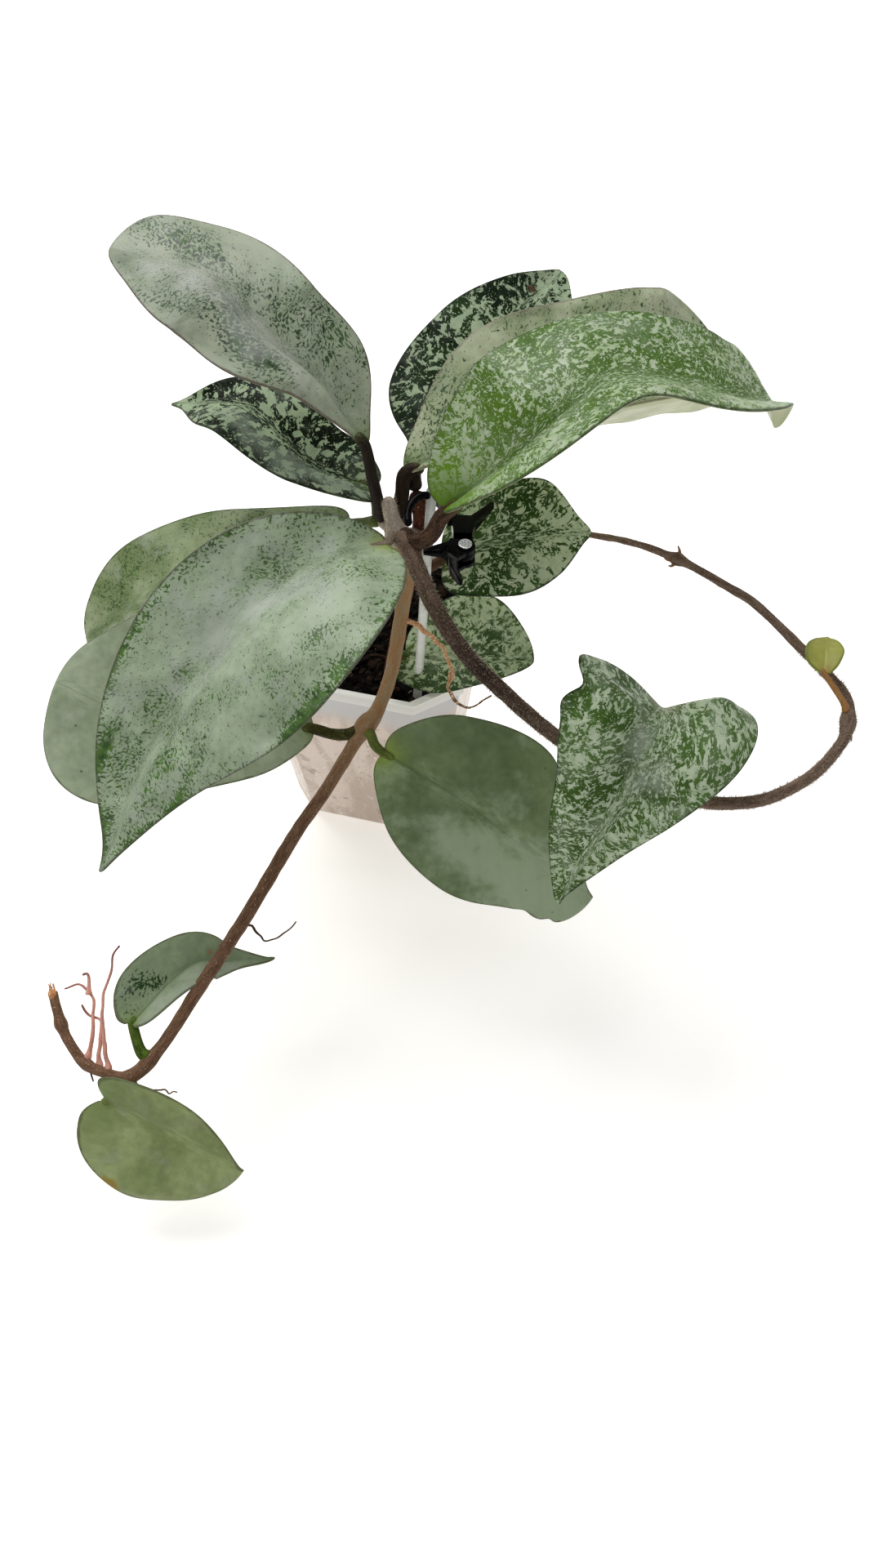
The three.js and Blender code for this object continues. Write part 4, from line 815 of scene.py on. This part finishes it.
KNOT = dict(points=[[25.8, -29.5, 155], [25, -35, 158.5], [23.5, -41, 163], [22, -41, 168],
                    [19.5, -37.5, 173.5]],
            radii=[2.1, 2.1], swellings=[[0.55, 1.7, 3.6]])
STUB = dict(points=[[23.5, -41, 164], [20.5, -38.5, 163.5], [16.5, -35.5, 163]], radii=[2, 1.9])
PINK_ROOTS = [
    [[-43.5, -166.8, 48], [-43.2, -160.1, 54], [-44.7, -153.4, 60], [-48.2, -150.6, 62], [-51.2, -149.9, 62],
     [-55, -151.5, 60]],
    [[-46.5, -152, 61], [-47.7, -147.5, 65], [-49, -148.1, 66]],
    [[-39.3, -168, 47], [-40.7, -160.3, 54], [-41.4, -157, 56], [-45.9, -155.9, 56], [-48.8, -154.3, 58]],
    [[-35.8, -168.5, 48], [-38.6, -161.1, 56], [-39.8, -157.1, 61], [-40.8, -152.2, 64.5],
     [-40.2, -147.7, 67], [-40.7, -142, 70], [-39.5, -139.1, 72]],
]
DARK_ROOTS = [
    [[-42.6, -167, 47.5], [-41.7, -170, 45], [-40.7, -171.6, 43]],
    [[-30.5, -168.4, 46.6], [-26, -170.6, 43.4], [-20.6, -168.6, 43], [-18.7, -168, 43],
     [-17.2, -168.8, 42.6], [-16.2, -167.9, 42.6], [-14.8, -167.6, 42.5]],
    [[-10.2, -116.9, 61], [-7.1, -115.9, 58], [-3.5, -117.5, 54], [0.5, -114.6, 54], [4.5, -108.3, 54]],
]
TAN_ROOT = [[25, -43.2, 133], [28.2, -43.3, 132], [33, -45, 130], [38.8, -48.2, 128], [42.3, -52.8, 124],
            [42.5, -56.7, 121], [45.6, -57.8, 116], [49.7, -54.3, 113], [54.5, -51.1, 116]]
RUNNER_AGES = ((0, 0.03, 0.1, 0.17, 0.36), (0.9, 0.75, 0.3, 0, 1))
RUNNER_ROOT = [[155, -54.5, 135], [156.8, -56, 133], [157.8, -57, 130.5]]


def aged(form, shares, ages=(0, 1)):
    """Adds how far the bark has aged, 0 to 1, by straight steps between shares of the length."""
    form["values"]["aged"] = np.interp(form["values"]["share"], shares, ages)
    return form


HAIR_TURN = np.arange(3) * 2.1
HAIR = loft(np.stack([np.stack([wide * np.cos(HAIR_TURN), wide * np.sin(HAIR_TURN), np.full(3, high)], -1)
                      for high, wide in [(0, 1), (0.55, 0.75), (1, 0.15)]]))


def hairs(name, stem, material, slot, count, length, thick, seed, span=(0, 1)):
    """Short hairs that stand out from a stem: each root is a random place on its surface, each hair leans a
    little and has its own length and tone."""
    rng = np.random.default_rng(seed)
    share = np.sort(rng.uniform(*span, count))
    centre, ahead, run = route(stem["points"], share)
    side, up = side_frames(ahead)
    turn = rng.uniform(0, 2 * math.pi, count)
    out = np.cos(turn)[:, None] * side + np.sin(turn)[:, None] * up
    radius = swollen(stem["radii"], stem.get("swellings", ()), share, run)
    tall = unit(out + 0.35 * rng.normal(size=(count, 3)) + 0.25 * ahead)
    first = unit(np.cross(tall, ahead))
    second = np.cross(tall, first)
    long = length * rng.uniform(0.5, 1.2, count)
    axes = np.stack([first * thick, second * thick, tall * long[:, None]], 1)
    form = scatter(HAIR, centre + out * (radius - 0.1)[:, None], axes, chance=rng.uniform(0, 1, count))
    make_piece(name, form, material, slot)


# Soil
POT_TOP = 90
POT_HALF = (57 / 2, 77.6 / 2)
POT_CUT = (9, 14)
WALL_AND_GAP = 1.6
FLOOR_TOP = 5.3
SOIL_HEIGHT = 82
CHUNK_ROUGH = 0.25
BITS_REACH = 0.93  # of the way from the middle to the wall
BITS_RISE = 0.2  # of a bit's length, its middle above the mix


def inner_reach(z, turn):
    """How far the pot's inside reaches from its middle at a height and an angle: a square with cut
    corners, the nearest of its two sides and its corner line."""
    half = mix(*POT_HALF, z / POT_TOP) - WALL_AND_GAP
    cut = mix(*POT_CUT, z / POT_TOP)
    c, s = np.abs(np.cos(turn)), np.abs(np.sin(turn))
    return np.minimum(half / np.maximum(c, s), (2 * half - cut) / (c + s))


def soil_top(x, y):
    """The mix's lumpy top, a slow swell plus clods of 6, 2.5 and 1.1 mm."""
    flat = np.stack([x, y, 0 * x], -1)
    swell = np.sin(0.31 * x + 0.9) * np.cos(0.27 * y) + 0.6 * np.sin(0.53 * x - 0.41 * y)
    return (SOIL_HEIGHT - 0.4 + 1.1 * swell + 0.9 * lumps(flat, 6, 1) + 0.7 * lumps(flat, 2.5, 2)
            + 0.35 * lumps(flat, 1.1, 3))


def soil_form():
    """The potting mix: rings from the middle of its top out to the wall, down the wall and back in."""
    turn = np.linspace(0, 2 * math.pi, 220, endpoint=False)
    reach = inner_reach(SOIL_HEIGHT, turn)
    share = np.sqrt(np.linspace(0.0004, 1, 90))[:, None]
    x, y = share * reach * np.cos(turn), share * reach * np.sin(turn)
    top = np.stack([x, y, soil_top(x, y)], -1)
    down = np.linspace(SOIL_HEIGHT - 3, FLOOR_TOP, 12)
    walls = [np.stack([inner_reach(z, turn) * np.cos(turn), inner_reach(z, turn) * np.sin(turn),
                       np.full(turn.shape, z)], -1) for z in down]
    floor = walls[-1] * [0.02, 0.02, 1]
    return loft(np.concatenate([top, walls, [floor]]))


def random_turns(rng, count):
    """Random rotations, as three axes each."""
    a = unit(rng.normal(size=(count, 3)))
    b = unit(np.cross(a, rng.normal(size=(count, 3))))
    return np.stack([a, b, np.cross(a, b)], 1)


def chunk(rng):
    """An irregular lump of unit size: rings of an ellipsoid, each corner pushed in or out at random."""
    tilt = np.linspace(0.35, math.pi - 0.35, 4)[:, None]
    turn = np.linspace(0, 2 * math.pi, 7, endpoint=False)
    ball = np.stack([np.sin(tilt) * np.cos(turn), np.sin(tilt) * np.sin(turn), np.cos(tilt) + 0 * turn], -1)
    return loft(ball * rng.uniform(1 - CHUNK_ROUGH, 1 + CHUNK_ROUGH, ball.shape[:2])[..., None])


def soil_bits(name, material, count, size, seed):
    """Loose bits of bark on the mix: three kinds of chunk, each copy turned, scaled and half sunk."""
    rng = np.random.default_rng(seed)
    forms = []
    for _ in range(3):
        n = count // 3
        turn, share = rng.uniform(0, 2 * math.pi, n), np.sqrt(rng.uniform(0, 1, n)) * BITS_REACH
        far = share * inner_reach(SOIL_HEIGHT, turn)
        x, y = far * np.cos(turn), far * np.sin(turn)
        scale = np.array(size) * rng.uniform(0.6, 1.4, (n, 1))
        axes = random_turns(rng, n) * scale[..., None]
        places = np.stack([x, y, soil_top(x, y) + BITS_RISE * scale[:, 0]], -1)
        forms.append(scatter(chunk(rng), places, axes, chance=rng.uniform(0, 1, n)))
    make_piece(name, join(*forms), material, "potting_mix", flat=True)


# Making the pieces
STALKS = {  # radius in mm and two colours
    "leaf_01": (1.8, "#120c07", "#2a1e14"), "leaf_02": (1.7, "#33331a", "#4a4a24"),
    "leaf_04": (1.4, "#6e6250", "#8f8171"), "leaf_05": (1.7, "#4a5426", "#5a6430"),
    "leaf_06": (2.0, "#1c1c04", "#41400f"), "leaf_07": (2.0, "#1c140a", "#30251a"),
    "leaf_08": (2.2, "#1a120a", "#33261a"), "leaf_09": (2.5, "#21130b", "#553e2d"),
    "leaf_10": (1.7, "#4a3424", "#5c4432"), "leaf_11": (1.7, "#3c4a24", "#4c5a30"),
    "leaf_12": (1.7, "#4a5420", "#646e34"), "leaf_13": (1.7, "#4a3c2c", "#5c4c38"),
    "leaf_14": (1.8, "#30430c", "#52681f"), "leaf_03": (1.7, "#5c6632", "#6c763c"),
    "new_leaf": (0.9, "#8a6238", "#a87c4a"),
}


def make_leaves():
    """Each leaf's blade and stalk. The blade stands for the leaf's solid."""
    for number, (name, leaf) in enumerate(LEAVES.items()):
        look = LOOKS[name]
        rows, columns = (60, 18) if name == "new_leaf" else (120, 36)
        form = blade(leaf, look, rows, columns, seed=number)
        make_piece(name + "_blade", form, leaf_skin(name + "_waxy_skin", look), look["slot"], [name])
        radius, dark, light = STALKS[name]
        inside = route(leaf["rib"], [0.05])[0][0].tolist()
        form = tube([*leaf["stalk"], inside], [radius, 0.85 * radius], sides=16, step=0.7, rough=0.08,
                    swellings=[(0.08, 0.15 * radius, 2)], seed=number)
        skin = bark_skin(name + "_stalk_skin", (dark, light), (light, look["base"]), 0.8, "#8a7c60", 0.6,
                         0.72)
        make_piece(name + "_stalk", aged(form, (0.88, 1.1)), skin, look["slot"])


def make_stems():
    """The three stems. The main stem carries the knot and the stub that the upper leaves grow from."""
    grey = bark_skin("grey_fuzzy_bark", ("#4f2a1c", "#6e3f2e"), ("#96887a", "#bdb1a2"), 1.0, "#cabfb0", 0.9)
    tan = bark_skin("tan_flaking_bark", ("#9a7049", "#8f8064"), ("#59402e", "#7a5c46"), 0.8, "#b4a696", 0.7)
    dark = bark_skin("dark_fuzzy_bark", ("#20160f", "#3d2e25"), ("#5c493d", "#806c5d"), 1.0, "#8a7a6a", 0.75,
                     0.7)
    for name, skin, slot, ages, branches in [
            ("main_stem", grey, "stem_grey", ((0, 1), (0, 0)), (KNOT, STUB)),
            ("trailing_stem", tan, "stem_tan", ((0.22, 0.4), (0, 1)), ()),
            ("runner_stem", dark, "stem_dark", RUNNER_AGES, ())]:
        forms = [aged(tube(**STEMS[name], sides=24, step=0.8, rough=0.12), *ages)]
        for n, branch in enumerate(branches):
            form = tube(**branch, sides=24, step=0.7, rough=0.16, seed=n + 4)
            forms.append(aged(form, (0, 1), (1, 1)))
        make_piece(name + "_bark", join(*forms), skin, slot, [name])


def thin_lines(name, lines, skin, slot, shares, radii, seed=0, **shape):
    """Roots or the like as one piece: a thin tube along each line. Their seeds count up from the first."""
    forms = [aged(tube(line, radii, seed=seed + n, **shape), shares) for n, line in enumerate(lines)]
    make_piece(name, join(*forms), skin, slot)


def make_roots():
    """The aerial roots of the trailing stem and the runner."""
    pink = bark_skin("young_root_skin", ("#c08878", "#d9a08e"), ("#8a4a44", "#5c3a36"), 0.8, "#d8b4a0", 0.5)
    thin_lines("young_aerial_roots", PINK_ROOTS, pink, "stem_tan", (0.6, 1), [0.75, 0.3], sides=8, step=0.5,
               swellings=[(0.02, 0.5, 1.5)], rough=0.08, kinks=0.35)
    brown = bark_skin("old_root_skin", ("#5c4034", "#3a2c28"), ("#6a4a3c", "#3c2c2a"), 0.6, "#8a6a58", 0.7)
    thin_lines("old_aerial_roots", [*DARK_ROOTS, RUNNER_ROOT], brown, "stem_tan", (0, 1), [0.45, 0.22], 9,
               sides=8, step=0.4, rough=0.08, kinks=0.5)
    flaky = bark_skin("flaking_root_skin", ("#c08a60", "#d8a880"), ("#7c5a3a", "#5c442c"), 0.5, "#f0d0b0",
                      0.7, 0.56)
    thin_lines("flaking_aerial_root", [TAN_ROOT], flaky, "stem_tan", (0.45, 0.7), [0.8, 0.32], 21, sides=9,
               step=0.4, swellings=[(0.5, 0.5, 1.6)], rough=0.16, kinks=0.7)


def make_hairs():
    """The pale fuzz of the runner and the knot, and the rusty fuzz of two leaf stalks."""
    fuzz = chance_skin("pale_stem_hairs", "#74654f", "#c9bda8", 0.8)
    rusty = chance_skin("rust_stalk_hairs", "#6a4434", "#b08a70", 0.8)
    runner = STEMS["runner_stem"]
    hairs("runner_hairs", runner, fuzz, "stem_dark", 9500, 1.0, 0.04, 5, (0, 0.7))
    hairs("runner_end_hairs", runner, fuzz, "stem_dark", 1500, 0.55, 0.035, 8, (0.7, 1))
    hairs("node_hairs", KNOT, fuzz, "stem_grey", 1500, 0.7, 0.035, 6)
    for name, radii in (("leaf_09", [2.5, 2.2]), ("leaf_10", [1.7, 1.5])):
        stalk = dict(points=LEAVES[name]["stalk"], radii=radii)
        hairs(name + "_stalk_hairs", stalk, rusty, LOOKS[name]["slot"], 500, 0.5, 0.035, 7)


BRACTS = [[[101.2, -15.5, 149.5], [101.2, -13.2, 150.6], [100.4, -11.8, 151.4]],
          [[100.6, -14.4, 148.7], [98.6, -16.2, 149.2], [97.2, -16.6, 150]],
          [[101, -15.2, 148.5], [99.8, -17.3, 148.2], [98.8, -18, 148.7]]]
CUT_END = [[-57.8, -154.8, 55], [-59, -153.2, 56], [-60.2, -151.4, 57.2]]
SPLINTER_FOOT = np.array([-60, -151.6, 57])
SPLINTER_WAY = np.array([-0.7, 1.0, 0.7])


def small_parts():
    """Bracts at the runner's far node, and the trailing stem's dried, frayed cut end with its splinters."""
    dry = bark_skin("dry_bract_skin", ("#6a4a34", "#8a6a4a"), ("#a8845c", "#8a6a4a"), 0.6, "#c0a078", 0.8)
    thin_lines("runner_bracts", BRACTS, dry, "stem_dark", (0, 1), [0.8, 0.2], sides=8, step=0.4, rough=0.08)
    cut = bark_skin("dried_cut_wood", ("#7a4a30", "#9a6040"), ("#b0744a", "#cf9a6c"), 0.7, "#e0b88c", 0.85,
                    0.6)
    forms = [aged(tube(CUT_END, [1.35, 1.5], step=0.4, rough=0.14), (0, 0.8))]
    rng = np.random.default_rng(31)
    for n in range(9):
        foot = SPLINTER_FOOT + rng.normal(size=3) * 0.75
        tip = foot + SPLINTER_WAY * rng.uniform(0.9, 1.8) + rng.normal(size=3) * 0.35
        splinter = tube([foot, (foot + tip) / 2, tip], [0.35, 0.12], sides=6, step=0.4, rough=0.05, seed=n)
        forms.append(aged(splinter, (0, 1), (1, 1)))
    make_piece("frayed_cut_end", join(*forms), cut, "stem_tan")


def make_pot_and_soil():
    """The pot, its mix with loose bits, and the stake."""
    softened_copy("pot", "moulded_pot", pot_skin(), PLANT, "pot_plastic", 0.35)
    bed = soil_form()
    bed["values"]["chance"] = np.full(len(bed["points"]), 0.1)
    make_piece("potting_mix_bed", bed, chance_skin("damp_peat", "#020202", "#0e0a08", 0.95), "potting_mix",
               ["soil"])
    for name, bark, dark, light, rough, count, size, seed in [
            ("bark_chips", "pine_bark_chips", "#070504", "#2a1d15", 0.9, 420, (1.8, 1.3, 0.7), 11),
            ("fine_bark", "fine_bark", "#040302", "#1c140f", 0.9, 900, (0.8, 0.6, 0.4), 12),
            ("pale_bits", "wood_fibre_bits", "#5a4c3c", "#8f8270", 0.8, 60, (1.0, 0.35, 0.25), 13)]:
        soil_bits(name, chance_skin(bark, dark, light, rough), count, size, seed)
    clear = plastic_skin("milky_acrylic_rod", "#dfe2dc", "#eceee9", 0.14, 1.49, clear=0.12, scratch=5)
    rod = tube([[22.5, -27, 60], [31, -32.5, 175]], [1.5, 1.5], sides=32, step=3)
    make_piece("clear_stake", rod, clear, "stake_plastic", ["stake"])


CLAW = [[27.6, -45.2, 171.0], [26.5, -41.2, 172.6], [27.5, -37.2, 173.8], [29.4, -35.2, 174.0],
        [31.0, -34.4, 173.2]]


def make_clip():
    """The spring clip: two glossy halves, a claw round the stem, a bright pin and its spring."""
    black = plastic_skin("black_abs_moulded", "#040405", "#09090b", 0.12, 1.5, gloss=0.05)
    softened_copy("clip_front", "clip_front_half", black, JAW, "clip_plastic", 0.3)
    softened_copy("clip_back", "clip_back_half", black, PLANT, "clip_plastic", 0.3)
    make_piece("clip_claw_ring", tube(CLAW, [1.2, 1.1], sides=16, step=0.5), black, "clip_plastic")
    nickel = metal_skin("nickel_plated_pin", "#b9bbbf", "#f4f4f6", 0.16)
    softened_copy("clip_pin", "clip_pin_heads", nickel, PLANT, "pin_metal", 0.22)
    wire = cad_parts["clip_spring"]
    wire.data.materials.clear()
    wire.data.materials.append(metal_skin("blued_spring_wire", "#1d1e20", "#3a3c3f", 0.3))


make_pot_and_soil()
make_clip()
make_stems()
make_roots()
make_hairs()
small_parts()
make_leaves()


# Floor, light and view
FLOOR_HALF, FLOOR_CLOUD = 4, 0.125  # metres
ROOM_LIGHT = 0.42
LAMP_WATTS, LAMP_SIZE = 16, 0.9  # watts and metres
LAMP_PLACE = (-0.45, 0.35, 1.3)
LAMP_TURN = (math.radians(-15), math.radians(-19), 0)


def make_studio():
    """A white floor under soft light from a white room, and one large lamp above."""
    paper, tree = surface("white_floor_paper")
    place = add(tree, "TexCoord", out="Object")
    cloud = add(tree, "TexNoise", {"Vector": place, "Scale": 1 / FLOOR_CLOUD, "Detail": 2.0})
    tint = add(tree, "Mix", {"Factor": cloud, "A": "#fbfaf8", "B": "#f4f3f0"}, **COLOURS)
    finish_surface(paper, {"Base Color": tint, "Roughness": 0.7, "Emission Color": "#fffdfa",
                           "Emission Strength": 0.45})
    mesh = bpy.data.meshes.new("floor")
    corners = [(-1, -1), (1, -1), (1, 1), (-1, 1)]
    mesh.from_pydata([(FLOOR_HALF * x, FLOOR_HALF * y, 0) for x, y in corners], [], [(0, 1, 2, 3)])
    mesh.materials.append(paper)
    in_scene("floor", mesh)
    world = bpy.data.worlds.new("white_room")
    bpy.context.scene.world = world
    world.use_nodes = True
    sky = world.node_tree.nodes["Background"].inputs
    sky["Color"].default_value = colour("#fdfdff")
    sky["Strength"].default_value = ROOM_LIGHT
    lamp = bpy.data.lights.new("soft_lamp", "AREA")
    lamp.energy, lamp.size = LAMP_WATTS, LAMP_SIZE
    holder = in_scene("soft_lamp", lamp)
    holder.location, holder.rotation_euler = LAMP_PLACE, LAMP_TURN
    bpy.context.scene.view_settings.view_transform = "Standard"


make_studio()
bpy.context.view_layer.update()
